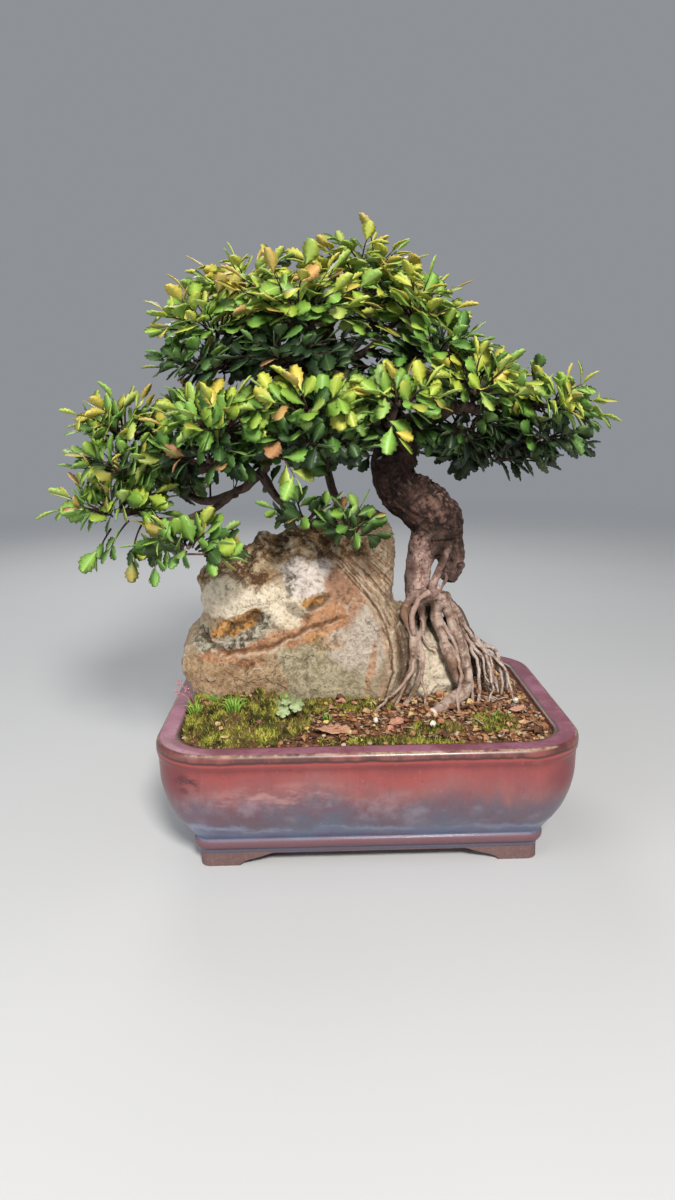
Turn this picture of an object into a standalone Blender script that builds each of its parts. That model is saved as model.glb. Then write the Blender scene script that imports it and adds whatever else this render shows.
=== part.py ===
"""A small-leaved elm grown over a stone, in a footed rectangular bonsai pot.

Metres, +Z up. The model is laid out about the middle of the pot's foot print, with the front of
the pot towards -Y, and is then moved so that the origin is the bottom centre of its whole box.
"""

import math
import random

import bmesh
import bpy
from mathutils import Matrix, Vector, noise
from mathutils.bvhtree import BVHTree

# The pot, whose width sets the scale of everything else
POT_WIDTH = 0.300
POT_DEPTH = 0.232
POT_HEIGHT = 0.096
POT_CORNER = 0.046
CORNER_STEPS = 4
CORNER_SHARPENS = 1.35
SMALLEST_CORNER = 0.006
POT_OUTSIDE = (
    (0.0298, 0.0095),
    (0.0288, 0.0105),
    (0.0284, 0.0142),
    (0.0256, 0.0152),
    (0.0246, 0.0212),
    (0.0262, 0.0226),
    (0.0250, 0.0244),
    (0.0205, 0.0296),
    (0.0138, 0.0368),
    (0.0084, 0.0452),
    (0.0044, 0.0548),
    (0.0018, 0.0665),
    (0.0014, 0.0838),
    (0.0000, 0.0862),
    (0.0000, 0.0930),
    (0.0018, 0.0957),
    (0.0045, POT_HEIGHT),
)
POT_INSIDE = (
    (0.0160, 0.0956),
    (0.0176, 0.0940),
    (0.0190, 0.0850),
    (0.0200, 0.0600),
    (0.0260, 0.0400),
    (0.0380, 0.0240),
    (0.0480, 0.0190),
)
INSIDE_SHARPENS = 1.0
FOOT_INSET = 0.0290
FOOT_THICKNESS = 0.015
FOOT_TOP = 0.0120
FOOT_LENGTH = 0.0285
FOOT_SHAPE = ((0.0, -0.002), (0.0, 0.0), (0.0012, 0.0022), (0.006, 0.0038), (0.015, 0.0064), (0.023, 0.0090))
DRAIN_RADIUS = 0.011
DRAIN_OFFSET = 0.055
SCREEN_SIZE = 0.030
SCREEN_BAR = 0.0014
SCREEN_BARS = 3

# Clearance between pieces that rest on or in each other
GAP = 0.0004

# The soil, which rises from the rim to the stone
SOIL_EDGE = 0.0925
SOIL_FLOOR = 0.0212
SOIL_RISE = 0.012
SOIL_RINGS = 5
SOIL_ROUGHNESS = 0.0012

# The stone: height, left end, right end, front and back of each level section
STONE_SECTIONS = (
    (0.062, -0.114, 0.064, -0.022, 0.044),
    (0.090, -0.122, 0.076, -0.030, 0.052),
    (0.099, -0.127, 0.079, -0.033, 0.054),
    (0.108, -0.138, 0.080, -0.034, 0.056),
    (0.124, -0.142, 0.077, -0.034, 0.057),
    (0.140, -0.141, 0.069, -0.031, 0.055),
    (0.151, -0.137, 0.059, -0.028, 0.053),
    (0.159, -0.130, 0.046, -0.025, 0.051),
    (0.167, -0.123, 0.034, -0.023, 0.049),
    (0.178, -0.125, 0.030, -0.021, 0.047),
    (0.193, -0.127, 0.029, -0.017, 0.043),
    (0.204, -0.120, 0.028, -0.012, 0.040),
    (0.214, -0.101, 0.027, -0.008, 0.036),
    (0.223, -0.075, 0.026, -0.004, 0.033),
    (0.232, -0.044, 0.025, 0.000, 0.030),
    (0.239, -0.024, 0.020, 0.004, 0.027),
    (0.2435, -0.012, 0.013, 0.008, 0.022),
)
STONE_SIDES = 40
STONE_SQUARENESS = 2.9
STONE_ROUGHNESS = 0.0042
CLEFT_AT = 0.030
CLEFT_WIDTH = 0.009
CLEFT_DEPTH = 0.010
CLEFT_TOP = 0.180
SEAM_DEPTH = 0.0060
SEAM_WIDTH = 0.005

# Lines of the wood: x, y, z and radius at each point
TRUNK = (
    (0.060, 0.011, 0.220, 0.0190),
    (0.058, 0.012, 0.235, 0.0210),
    (0.046, 0.012, 0.247, 0.0195),
    (0.031, 0.010, 0.259, 0.0180),
    (0.0255, 0.010, 0.273, 0.0165),
    (0.0275, 0.010, 0.288, 0.0165),
    (0.0245, 0.010, 0.303, 0.0155),
    (0.014, 0.008, 0.316, 0.0130),
    (0.000, 0.008, 0.326, 0.0112),
    (-0.014, 0.010, 0.337, 0.0098),
    (-0.020, 0.012, 0.351, 0.0085),
    (-0.0225, 0.012, 0.366, 0.0072),
    (-0.024, 0.012, 0.378, 0.0060),
)
LIMBS = {
    "left_leg": (
        (0.057, 0.010, 0.224, 0.0160),
        (0.049, 0.009, 0.213, 0.0130),
        (0.0445, 0.006, 0.200, 0.0100),
        (0.0440, 0.003, 0.186, 0.0098),
        (0.0440, 0.001, 0.174, 0.0100),
    ),
    "right_leg": (
        (0.062, 0.012, 0.226, 0.0165),
        (0.068, 0.011, 0.213, 0.0120),
        (0.0705, 0.008, 0.204, 0.0098),
        (0.0690, 0.006, 0.195, 0.0076),
        (0.0655, 0.003, 0.187, 0.0054),
    ),
    "left_branch": (
        (0.022, 0.006, 0.303, 0.0110),
        (0.000, -0.005, 0.304, 0.0085),
        (-0.015, -0.010, 0.302, 0.0070),
        (-0.044, -0.018, 0.2975, 0.0062),
        (-0.073, -0.023, 0.291, 0.0055),
        (-0.094, -0.025, 0.286, 0.0045),
        (-0.112, -0.025, 0.279, 0.0038),
    ),
    "low_left_branch": (
        (-0.070, -0.022, 0.292, 0.0045),
        (-0.0745, -0.021, 0.274, 0.0040),
        (-0.089, -0.020, 0.261, 0.0037),
        (-0.115, -0.020, 0.247, 0.0030),
        (-0.135, -0.022, 0.240, 0.0026),
    ),
    "right_branch": (
        (0.027, 0.012, 0.291, 0.0105),
        (0.046, 0.016, 0.297, 0.0066),
        (0.070, 0.020, 0.297, 0.0050),
        (0.092, 0.023, 0.292, 0.0038),
    ),
    "right_upper_branch": (
        (0.024, 0.008, 0.302, 0.0100),
        (0.048, -0.003, 0.311, 0.0064),
        (0.072, -0.012, 0.317, 0.0050),
        (0.100, -0.015, 0.321, 0.0038),
    ),
    "crown_left_branch": (
        (-0.012, 0.010, 0.334, 0.0080),
        (-0.034, 0.000, 0.345, 0.0060),
        (-0.052, -0.008, 0.357, 0.0048),
    ),
}
ROOTS = {
    "front_left_root": (
        (0.042, -0.001, 0.180, 0.0060),
        (0.0345, -0.008, 0.170, 0.0046),
        (0.0345, -0.016, 0.157, 0.0042),
        (0.0380, -0.024, 0.143, 0.0042),
        (0.0375, -0.030, 0.131, 0.0040),
        (0.0310, -0.034, 0.118, 0.0035),
        (0.0210, -0.039, 0.106, 0.0028),
        (0.0110, -0.044, 0.098, 0.0022),
        (0.0050, -0.047, 0.091, 0.0018),
    ),
    "front_middle_root": (
        (0.046, -0.004, 0.174, 0.0055),
        (0.0460, -0.014, 0.160, 0.0036),
        (0.0430, -0.024, 0.146, 0.0034),
        (0.0430, -0.031, 0.132, 0.0034),
        (0.0400, -0.036, 0.118, 0.0032),
        (0.0320, -0.042, 0.106, 0.0028),
        (0.0250, -0.048, 0.098, 0.0022),
        (0.0210, -0.051, 0.089, 0.0018),
    ),
    "bridge_root": (
        (0.042, -0.001, 0.175, 0.0070),
        (0.051, -0.006, 0.176, 0.0062),
        (0.060, -0.007, 0.177, 0.0060),
    ),
    "knee_root": (
        (0.0690, 0.001, 0.208, 0.0036),
        (0.0640, -0.007, 0.203, 0.0037),
        (0.0595, -0.010, 0.193, 0.0036),
        (0.0580, -0.008, 0.180, 0.0048),
    ),
    "inner_front_root": (
        (0.057, -0.006, 0.178, 0.0060),
        (0.0580, -0.013, 0.165, 0.0052),
        (0.0600, -0.020, 0.152, 0.0048),
        (0.0640, -0.024, 0.138, 0.0044),
        (0.0680, -0.026, 0.124, 0.0040),
        (0.0740, -0.029, 0.112, 0.0034),
    ),
    "outer_front_root": (
        (0.060, -0.005, 0.178, 0.0062),
        (0.0670, -0.010, 0.163, 0.0052),
        (0.0725, -0.016, 0.147, 0.0048),
        (0.0765, -0.024, 0.130, 0.0045),
        (0.0780, -0.030, 0.117, 0.0041),
        (0.0740, -0.035, 0.106, 0.0032),
        (0.0690, -0.040, 0.097, 0.0022),
        (0.0670, -0.042, 0.088, 0.0016),
    ),
    "right_root": (
        (0.060, -0.002, 0.178, 0.0060),
        (0.0710, -0.001, 0.165, 0.0050),
        (0.0800, 0.000, 0.151, 0.0046),
        (0.0870, 0.002, 0.140, 0.0040),
        (0.0950, 0.002, 0.127, 0.0034),
        (0.1020, 0.001, 0.113, 0.0028),
        (0.1070, 0.000, 0.100, 0.0022),
        (0.1090, -0.001, 0.088, 0.0016),
    ),
    "far_right_root": (
        (0.084, 0.001, 0.144, 0.0034),
        (0.0940, 0.001, 0.138, 0.0030),
        (0.1030, -0.002, 0.131, 0.0028),
        (0.1090, -0.005, 0.118, 0.0024),
        (0.1130, -0.007, 0.102, 0.0020),
        (0.1140, -0.008, 0.088, 0.0016),
    ),
    "near_right_root": (
        (0.084, 0.001, 0.144, 0.0032),
        (0.0900, -0.006, 0.130, 0.0026),
        (0.0960, -0.011, 0.115, 0.0023),
        (0.0990, -0.014, 0.100, 0.0020),
        (0.1000, -0.015, 0.088, 0.0016),
    ),
    "cut_root": (
        (0.0785, -0.030, 0.115, 0.0042),
        (0.0700, -0.038, 0.1075, 0.0046),
        (0.0580, -0.048, 0.1025, 0.0047),
        (0.0480, -0.056, 0.1000, 0.0046),
    ),
    "back_right_root": (
        (0.064, 0.002, 0.176, 0.0056),
        (0.0780, 0.014, 0.156, 0.0046),
        (0.0890, 0.024, 0.132, 0.0038),
        (0.0960, 0.031, 0.110, 0.0030),
        (0.0990, 0.034, 0.088, 0.0018),
    ),
    "back_root": (
        (0.050, 0.006, 0.178, 0.0060),
        (0.0560, 0.030, 0.166, 0.0048),
        (0.0600, 0.048, 0.148, 0.0042),
        (0.0640, 0.060, 0.122, 0.0034),
        (0.0660, 0.066, 0.102, 0.0026),
        (0.0670, 0.068, 0.088, 0.0018),
    ),
}
TRUNK_SIDES = 10
TRUNK_STEP = 0.012
TRUNK_LUMPS = 0.22
LIMB_SIDES = 6
LIMB_STEP = 0.022
LIMB_LUMPS = 0.16
ROOT_SIDES = 5
ROOT_STEP = 0.0125
ROOT_LUMPS = 0.05
ROOT_CLEAR_OF_STONE = 0.0011
TWIG_SIDES = 4
TWIG_STEP = 0.035
TWIG_RADIUS = 0.0026
TWIG_END_RADIUS = 0.0021
TWIG_END_LENGTH = 0.005
TWIG_SAG = 0.12

# Foliage: middle and half size of each tuft, and the point of the wood that its twig leaves from
TUFTS = {
    "crown_left": ((-0.100, -0.020, 0.377), (0.046, 0.042, 0.024), (-0.051, -0.008, 0.356)),
    "crown_front": ((-0.042, -0.050, 0.386), (0.046, 0.034, 0.028), (-0.022, 0.012, 0.364)),
    "crown_top": ((0.000, 0.012, 0.414), (0.045, 0.040, 0.030), (-0.024, 0.012, 0.376)),
    "crown_right": ((0.046, -0.018, 0.388), (0.036, 0.040, 0.026), (-0.020, 0.012, 0.352)),
    "crown_back_left": ((-0.075, 0.066, 0.392), (0.044, 0.036, 0.024), (-0.023, 0.012, 0.368)),
    "crown_back_right": ((0.026, 0.072, 0.394), (0.046, 0.036, 0.024), (-0.021, 0.012, 0.358)),
    "left_tip": ((-0.170, -0.015, 0.308), (0.034, 0.036, 0.022), (-0.110, -0.025, 0.280)),
    "left_front": ((-0.098, -0.070, 0.312), (0.038, 0.030, 0.020), (-0.073, -0.023, 0.291)),
    "left_back": ((-0.116, 0.052, 0.316), (0.044, 0.036, 0.020), (-0.044, -0.018, 0.2975)),
    "centre_front": ((-0.036, -0.080, 0.320), (0.038, 0.026, 0.017), (-0.015, -0.010, 0.302)),
    "centre_right_front": ((0.022, -0.076, 0.324), (0.032, 0.026, 0.016), (0.018, 0.008, 0.312)),
    "right_inner": ((0.076, -0.048, 0.334), (0.033, 0.030, 0.022), (0.070, -0.011, 0.3166)),
    "right_tip": ((0.138, -0.015, 0.322), (0.038, 0.036, 0.020), (0.098, -0.015, 0.3208)),
    "right_low": ((0.104, 0.036, 0.284), (0.050, 0.038, 0.018), (0.090, 0.023, 0.2924)),
    "right_back": ((0.094, 0.066, 0.334), (0.042, 0.034, 0.022), (0.068, 0.020, 0.297)),
    "low_left_tip": ((-0.178, -0.032, 0.254), (0.040, 0.032, 0.020), (-0.133, -0.022, 0.2405)),
    "low_left_front": ((-0.122, -0.060, 0.230), (0.034, 0.024, 0.015), (-0.114, -0.020, 0.2475)),
    "low_left_back": ((-0.158, 0.040, 0.264), (0.036, 0.034, 0.018), (-0.092, -0.0205, 0.260)),
    "over_stone": ((-0.042, -0.048, 0.247), (0.026, 0.018, 0.014), (-0.074, -0.021, 0.276)),
    "stone_spray": ((-0.010, -0.052, 0.238), (0.022, 0.016, 0.018), (-0.030, -0.014, 0.300)),
    "back_low": ((0.014, 0.062, 0.290), (0.036, 0.028, 0.016), (0.027, 0.011, 0.286)),
    "crown_shoulder": ((-0.080, 0.008, 0.406), (0.042, 0.036, 0.022), (-0.0225, 0.012, 0.366)),
    "crown_low_left": ((-0.104, -0.028, 0.350), (0.036, 0.034, 0.015), (-0.048, -0.006, 0.354)),
    "crown_low_front": ((-0.050, -0.060, 0.354), (0.036, 0.026, 0.014), (-0.034, 0.000, 0.345)),
    "crown_low_right": ((0.050, -0.034, 0.358), (0.034, 0.032, 0.017), (-0.010, 0.009, 0.334)),
    "right_low_front": ((0.132, -0.010, 0.298), (0.034, 0.030, 0.014), (0.092, 0.023, 0.292)),
    "left_under": ((-0.108, -0.048, 0.288), (0.038, 0.030, 0.014), (-0.094, -0.025, 0.286)),
    "left_low": ((-0.168, -0.026, 0.282), (0.034, 0.034, 0.016), (-0.112, -0.025, 0.279)),
    "centre_low": ((-0.040, -0.072, 0.299), (0.042, 0.026, 0.013), (-0.044, -0.018, 0.2975)),
}
HUB_SHARE = (0.24, 0.24, 0.34)
HUB_LUMPS = 0.12
HUB_SIDES = 5
FROND_ROOT = 0.0022
STEM_LENGTH = 0.006
BLADE_THICKNESS = 0.0008
BLADE_CLEARANCE = 0.0010
LEAF_LENGTH = 0.0215
LEAF_ANGLE = math.radians(56)
LEAF_FOLD = 0.0022
LEAF_SHAPE = ((0.58, -0.50, 1.0), (1.0, 0.02, 0.0), (0.50, 0.50, 1.0))
RIB_HALF_WIDTH = 0.0011
SHORTEST_FROND = 0.030
FRONDS = ((0.0, 0.10, 2), (2.1, 0.52, 2), (4.2, -0.26, 1))
SMALL_FROND_SHARE = 0.80
UPRIGHT_FROND = (1.0, 1.32, 2)
WITH_UPRIGHT = ("crown_top", "crown_front")
TRIES = 14
CANOPY_CENTRE = Vector((-0.010, 0.0, 0.330))

# Ground cover
MOSS_BANKS = {
    "moss_bank": ((-0.075, -0.061), (0.045, 0.029), 0.0085),
    "moss_patch": ((0.092, -0.068), (0.022, 0.015), 0.0035),
}
MOSS_SIDES = 20
MOSS_RINGS = 4
MOSS_FOOT = 0.004
DRY_LEAF_OUTLINE = (
    (0.00, 0.04),
    (0.25, 0.26),
    (0.50, 0.30),
    (0.75, 0.22),
    (1.00, 0.00),
    (0.72, -0.24),
    (0.45, -0.30),
    (0.20, -0.22),
)
DRY_LEAF_FACES = ((0, 7, 1), (1, 7, 6), (1, 6, 2), (2, 6, 5), (2, 5, 3), (3, 5, 4))
DRY_LEAF_CURL = 6.0
FALLEN_LEAVES = {
    "fallen_leaf_large": ((-0.024, -0.082), 0.026, 20),
    "fallen_leaf_right": ((0.112, -0.048), 0.018, 140),
    "fallen_leaf_small": ((0.020, -0.074), 0.015, 250),
}
GRIT = {
    "grit_front": ((0.046, -0.078), 0.0026),
    "grit_right": ((0.116, -0.026), 0.0027),
    "grit_middle": ((0.006, -0.070), 0.0022),
}
SEEDLING_PLACE = (-0.060, -0.070)
SEEDLING_HEIGHT = 0.014
SEEDLING_DEPTH = 0.004
SEEDLING_RADIUS = 0.0007
SEEDLING_LEAF = 0.0095
SEEDLING_TURNS = (0.2, 2.3, 4.2)
SEEDLING_LOBES = (
    (0.00, -0.10),
    (0.40, -0.52),
    (0.72, -0.30),
    (0.70, -0.14),
    (1.00, 0.00),
    (0.70, 0.14),
    (0.72, 0.30),
    (0.40, 0.52),
    (0.00, 0.10),
)
SEEDLING_FACES = ((0, 1, 8), (1, 7, 8), (1, 3, 7), (1, 2, 3), (3, 5, 7), (5, 6, 7), (3, 4, 5))
DOWN = Vector((0.0, 0.0, -1.0))


def clear_scene():
    for obj in list(bpy.data.objects):
        bpy.data.objects.remove(obj)


def finish_of(name, colour, roughness):
    made = bpy.data.materials.new(name)
    made.use_nodes = True
    shader = made.node_tree.nodes["Principled BSDF"]
    shader.inputs["Base Color"].default_value = (*colour, 1.0)
    shader.inputs["Roughness"].default_value = roughness
    return made


def mesh_from(vertices, faces):
    mesh = bpy.data.meshes.new("shape")
    mesh.from_pydata([tuple(v) for v in vertices], [], faces)
    return mesh


def add_node(name, mesh, finish, smooth_below=None):
    obj = bpy.data.objects.new(name, mesh)
    mesh.materials.clear()
    mesh.materials.append(finish)
    bpy.context.scene.collection.objects.link(obj)
    if smooth_below is not None:
        mesh.shade_smooth()
        mesh.set_sharp_from_angle(angle=math.radians(smooth_below))
    return obj


def boolean(operation, mesh, others, solver="EXACT"):
    """The mesh with the other meshes joined to it or cut from it."""
    base = bpy.data.objects.new("base", mesh)
    bpy.context.scene.collection.objects.link(base)
    operands = bpy.data.collections.new("operands")
    bpy.context.scene.collection.children.link(operands)
    for other in others:
        operands.objects.link(bpy.data.objects.new("operand", other))
    modifier = base.modifiers.new("join_or_cut", "BOOLEAN")
    modifier.operation = operation
    modifier.operand_type = "COLLECTION"
    modifier.collection = operands
    modifier.solver = solver
    graph = bpy.context.evaluated_depsgraph_get()
    result = bpy.data.meshes.new_from_object(base.evaluated_get(graph))
    for obj in list(operands.objects):
        bpy.data.objects.remove(obj)
    bpy.data.collections.remove(operands)
    bpy.data.objects.remove(base)
    return result


def loft(rings, cap_start=True, cap_end=True):
    """A closed skin over rings of equal length, each given anticlockwise seen from the end."""
    sides = len(rings[0])
    vertices = [v for ring in rings for v in ring]
    faces = []
    for k in range(len(rings) - 1):
        for i in range(sides):
            j = (i + 1) % sides
            faces.append((k * sides + i, k * sides + j, (k + 1) * sides + j, (k + 1) * sides + i))
    if cap_start:
        faces.append(tuple(reversed(range(sides))))
    if cap_end:
        faces.append(tuple(range((len(rings) - 1) * sides, len(rings) * sides)))
    return mesh_from(vertices, faces)


def pot_ring(inset, z, sharpens=CORNER_SHARPENS):
    """The pot's rounded rectangle at a height, drawn in from its rim by the inset."""
    radius = max(SMALLEST_CORNER, POT_CORNER - sharpens * inset)
    ring = []
    for quarter, (sx, sy) in enumerate(((1, 1), (-1, 1), (-1, -1), (1, -1))):
        cx = sx * (POT_WIDTH / 2 - inset - radius)
        cy = sy * (POT_DEPTH / 2 - inset - radius)
        for step in range(CORNER_STEPS + 1):
            angle = math.radians(90 * (quarter + step / CORNER_STEPS))
            ring.append(Vector((cx + radius * math.cos(angle), cy + radius * math.sin(angle), z)))
    return ring


def prism(outline, low, high, axis):
    """An outline of (along, up) points, pushed through along one level axis."""
    def place(along, up, across):
        return (along, across, up) if axis == "Y" else (-across, along, up)

    near = [place(a, u, low) for a, u in outline]
    far = [place(a, u, high) for a, u in outline]
    return loft([[Vector(v) for v in near], [Vector(v) for v in far]])


def upright_cylinder(x, y, radius, low, high, sides):
    rings = []
    for z in (low, high):
        turns = (2 * math.pi * i / sides for i in range(sides))
        rings.append([Vector((x + radius * math.cos(a), y + radius * math.sin(a), z)) for a in turns])
    return loft(rings)


def facing_out(mesh):
    shape = bmesh.new()
    shape.from_mesh(mesh)
    bmesh.ops.recalc_face_normals(shape, faces=shape.faces)
    shape.to_mesh(mesh)
    shape.free()
    return mesh


def foot_gap(half_length, reach, axis):
    """What is cut away between two feet, with its ends curved as on a cloud foot."""
    start = half_length - FOOT_INSET - FOOT_LENGTH
    right = [(start - out, up) for out, up in FOOT_SHAPE]
    left = [(-along, up) for along, up in reversed(right)]
    return facing_out(prism(right + left, -reach, reach, axis))


def build_pot():
    rings = [pot_ring(inset, z) for inset, z in POT_OUTSIDE]
    rings += [pot_ring(inset, z, INSIDE_SHARPENS) for inset, z in POT_INSIDE]
    body = loft(rings)
    inner = FOOT_INSET + FOOT_THICKNESS
    foot_rings = [
        pot_ring(FOOT_INSET, 0.0),
        pot_ring(FOOT_INSET, FOOT_TOP),
        pot_ring(inner, FOOT_TOP),
        pot_ring(inner, 0.0),
        pot_ring(FOOT_INSET, 0.0),
    ]
    feet = loft(foot_rings, cap_start=False, cap_end=False)
    shape = bmesh.new()
    shape.from_mesh(feet)
    bmesh.ops.remove_doubles(shape, verts=shape.verts, dist=1e-6)
    shape.to_mesh(feet)
    shape.free()
    feet = facing_out(feet)
    cutters = [foot_gap(POT_WIDTH / 2, POT_DEPTH, "Y"), foot_gap(POT_DEPTH / 2, POT_WIDTH, "X")]
    feet = boolean("DIFFERENCE", feet, cutters)
    drains = [
        upright_cylinder(x, 0.0, DRAIN_RADIUS, -0.01, 0.03, 14) for x in (-DRAIN_OFFSET, DRAIN_OFFSET)
    ]
    whole = boolean("UNION", body, [feet])
    return boolean("DIFFERENCE", whole, drains)


def box_between(low, high):
    corners = [Vector((x, y, z)) for z in (low[2], high[2]) for x, y in (
        (low[0], low[1]), (high[0], low[1]), (high[0], high[1]), (low[0], high[1]))]
    return loft([corners[:4], corners[4:]])


def build_screen(x):
    """A square of plastic mesh over a drain hole, inside the pot."""
    floor = POT_INSIDE[-1][1] + GAP
    pitch = (SCREEN_SIZE - SCREEN_BAR) / (SCREEN_BARS - 1)
    half = SCREEN_SIZE / 2
    bars = []
    for k in range(SCREEN_BARS):
        low = k * pitch - half
        high = low + SCREEN_BAR
        bars.append(box_between((x + low, -half, floor), (x + high, half, floor + SCREEN_BAR)))
        bars.append(box_between((x - half, low, floor), (x + half, high, floor + SCREEN_BAR)))
    return merged_flats(boolean("UNION", bars[0], bars[1:]))


def soil_height(x, y):
    """The soil's surface: level at the rim, rising to the stone, with a little unevenness."""
    across = min(1.0, abs(x) / (POT_WIDTH / 2 - 0.018))
    deep = min(1.0, abs(y) / (POT_DEPTH / 2 - 0.018))
    from_edge = (1 - across**4) * (1 - deep**3)
    rough = noise.noise(Vector((x * 55, y * 55, 3.0))) * SOIL_ROUGHNESS
    return SOIL_EDGE + (SOIL_RISE + rough) * from_edge


def soil_solid(lift=0.0):
    rings = []
    for inset, z in reversed(POT_INSIDE[2:]):
        rings.append(pot_ring(inset + 1.5 * GAP, max(z + 1.5 * GAP, SOIL_FLOOR), INSIDE_SHARPENS))
    edge = POT_INSIDE[1][0] + 1.5 * GAP
    deepest = POT_DEPTH / 2 - 0.012
    for k in range(SOIL_RINGS):
        inset = edge + (deepest - edge) * (k / SOIL_RINGS)
        ring = []
        for v in pot_ring(edge, 0.0, INSIDE_SHARPENS):
            share = 1 - (inset - edge) / (deepest - edge)
            x, y = v.x * share, v.y * share
            ring.append(Vector((x, y, soil_height(x, y) + lift)))
        rings.append(ring)
    mesh = loft(rings, cap_end=False)
    shape = bmesh.new()
    shape.from_mesh(mesh)
    rim = [e for e in shape.edges if e.is_boundary]
    middle = shape.verts.new((0.0, 0.0, soil_height(0.0, 0.0) + lift))
    for edge_of_rim in rim:
        shape.faces.new((*edge_of_rim.verts, middle))
    bmesh.ops.recalc_face_normals(shape, faces=shape.faces)
    bmesh.ops.triangulate(shape, faces=shape.faces)
    shape.to_mesh(mesh)
    shape.free()
    return mesh


def ease(t):
    return t * t * (3 - 2 * t)


def stone_section(z):
    """Left, right, front and back of the stone at a height, read between its level sections."""
    for low, high in zip(STONE_SECTIONS, STONE_SECTIONS[1:]):
        if z <= high[0]:
            share = max(0.0, (z - low[0]) / (high[0] - low[0]))
            return [a + (b - a) * share for a, b in zip(low[1:], high[1:])]
    return list(STONE_SECTIONS[-1][1:])


def stone_point(turn, z, grow=0.0):
    """A point of the stone's side, with its cleft, its slanting seam and broken facets."""
    left, right, front, back = stone_section(z)
    cx, cy = (left + right) / 2, (front + back) / 2
    c, s = math.cos(turn), math.sin(turn)
    power = 2 / STONE_SQUARENESS
    ux = math.copysign(abs(c) ** power, c)
    uy = math.copysign(abs(s) ** power, s)
    x = cx + ux * (right - left) / 2
    y = cy + uy * (back - front) / 2
    facets = noise.voronoi(Vector((x * 26, y * 26, z * 30)))[0][0] - 0.45
    ripple = noise.noise(Vector((x * 60, y * 60, z * 60)))
    relief = -STONE_ROUGHNESS * 2 * facets + STONE_ROUGHNESS * 0.5 * ripple
    if s < 0:
        cleft = math.exp(-(((x - CLEFT_AT) / CLEFT_WIDTH) ** 2))
        relief -= CLEFT_DEPTH * cleft * ease(max(0.0, min(1.0, (CLEFT_TOP - z) / 0.03)))
        seam = z - (0.176 + 0.30 * (x + 0.05))
        relief -= SEAM_DEPTH * math.exp(-((seam / SEAM_WIDTH) ** 2)) * ease(min(1.0, max(0.0, -x / 0.03)))
    out = Vector((c, s, 0.0))
    return Vector((x, y, z)) + out * (relief + grow)


def stone_solid(grow=0.0):
    levels = [section[0] for section in STONE_SECTIONS]
    turns = [2 * math.pi * (i + 0.5) / STONE_SIDES for i in range(STONE_SIDES)]
    rings = [[stone_point(turn, z, grow) for turn in turns] for z in levels]
    for v in rings[0]:
        v.z -= grow
    for v in rings[-1]:
        v.z += grow
    mesh = loft(rings)
    shape = bmesh.new()
    shape.from_mesh(mesh)
    bmesh.ops.triangulate(shape, faces=shape.faces)
    shape.to_mesh(mesh)
    shape.free()
    return facing_out(mesh)


def merged_flats(mesh):
    """The mesh with the pieces that a join cut its flat faces into merged again."""
    shape = bmesh.new()
    shape.from_mesh(mesh)
    bmesh.ops.dissolve_limit(shape, angle_limit=math.radians(0.3), verts=shape.verts, edges=shape.edges)
    bmesh.ops.triangulate(shape, faces=shape.faces)
    shape.to_mesh(mesh)
    shape.free()
    return mesh


def outer_skin(mesh):
    """The mesh without the small voids shut in where its limbs meet."""
    shape = bmesh.new()
    shape.from_mesh(mesh)
    left = set(shape.faces)
    islands = []
    while left:
        grown = [left.pop()]
        for face in grown:
            fresh = {g for e in face.edges for g in e.link_faces} & left
            left -= fresh
            grown += fresh
        islands.append(grown)
    islands.sort(key=len)
    for island in islands[:-1]:
        bmesh.ops.delete(shape, geom=island, context="FACES")
    shape.to_mesh(mesh)
    shape.free()
    return mesh


def through(points, step):
    """A smooth line through (x, y, z, radius) points, with a point about every step."""
    points = [Vector(p) for p in points]
    ends = [points[0] * 2 - points[1], *points, points[-1] * 2 - points[-2]]
    line = []
    for a, b, c, d in zip(ends, ends[1:], ends[2:], ends[3:]):
        count = max(1, round((c - b).xyz.length / step))
        for k in range(count):
            t = k / count
            line.append(0.5 * (2 * b + (c - a) * t + (2 * a - 5 * b + 4 * c - d) * t * t
                               + (3 * b - a - 3 * c + d) * t**3))
    return [*line, points[-1]]


def tube(line, sides, bark=0.0, grow=0.0):
    """A closed limb along a line of (x, y, z, radius) points."""
    rings = []
    side = Vector((0.31, 0.82, 0.48))
    for k, point in enumerate(line):
        ahead = (line[min(k + 1, len(line) - 1)].xyz - line[max(k - 1, 0)].xyz).normalized()
        side = (side - ahead * side.dot(ahead)).normalized()
        across = ahead.cross(side)
        ring = []
        for i in range(sides):
            turn = 2 * math.pi * i / sides
            out = side * math.cos(turn) + across * math.sin(turn)
            lump = noise.noise((point.xyz + out * point.w) * 70) * bark
            ring.append(point.xyz + out * (point.w * (1 + lump) + grow))
        rings.append(ring)
    return loft(rings)


def pushed_clear(line, surface, spare):
    """The line with each point moved off a surface until the limb's own radius clears it."""
    moved = []
    for point in line:
        near, normal, _, _ = surface.find_nearest(point.xyz)
        depth = (point.xyz - near).dot(normal)
        wanted = point.w + spare
        place = point.xyz + normal * (wanted - depth) if depth < wanted else point.xyz
        moved.append(Vector((*place, point.w)))
    return moved


def root_lines(stone):
    """The roots' lines, lying on the stone where they cross it, with enough points to round it."""
    surface = BVHTree.FromPolygons(*as_pair(stone))
    lines = []
    for points in ROOTS.values():
        line = through(points, ROOT_STEP)
        for _ in range(3):
            line = pushed_clear(line, surface, ROOT_CLEAR_OF_STONE)
        lines.append(line)
    return lines


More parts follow.
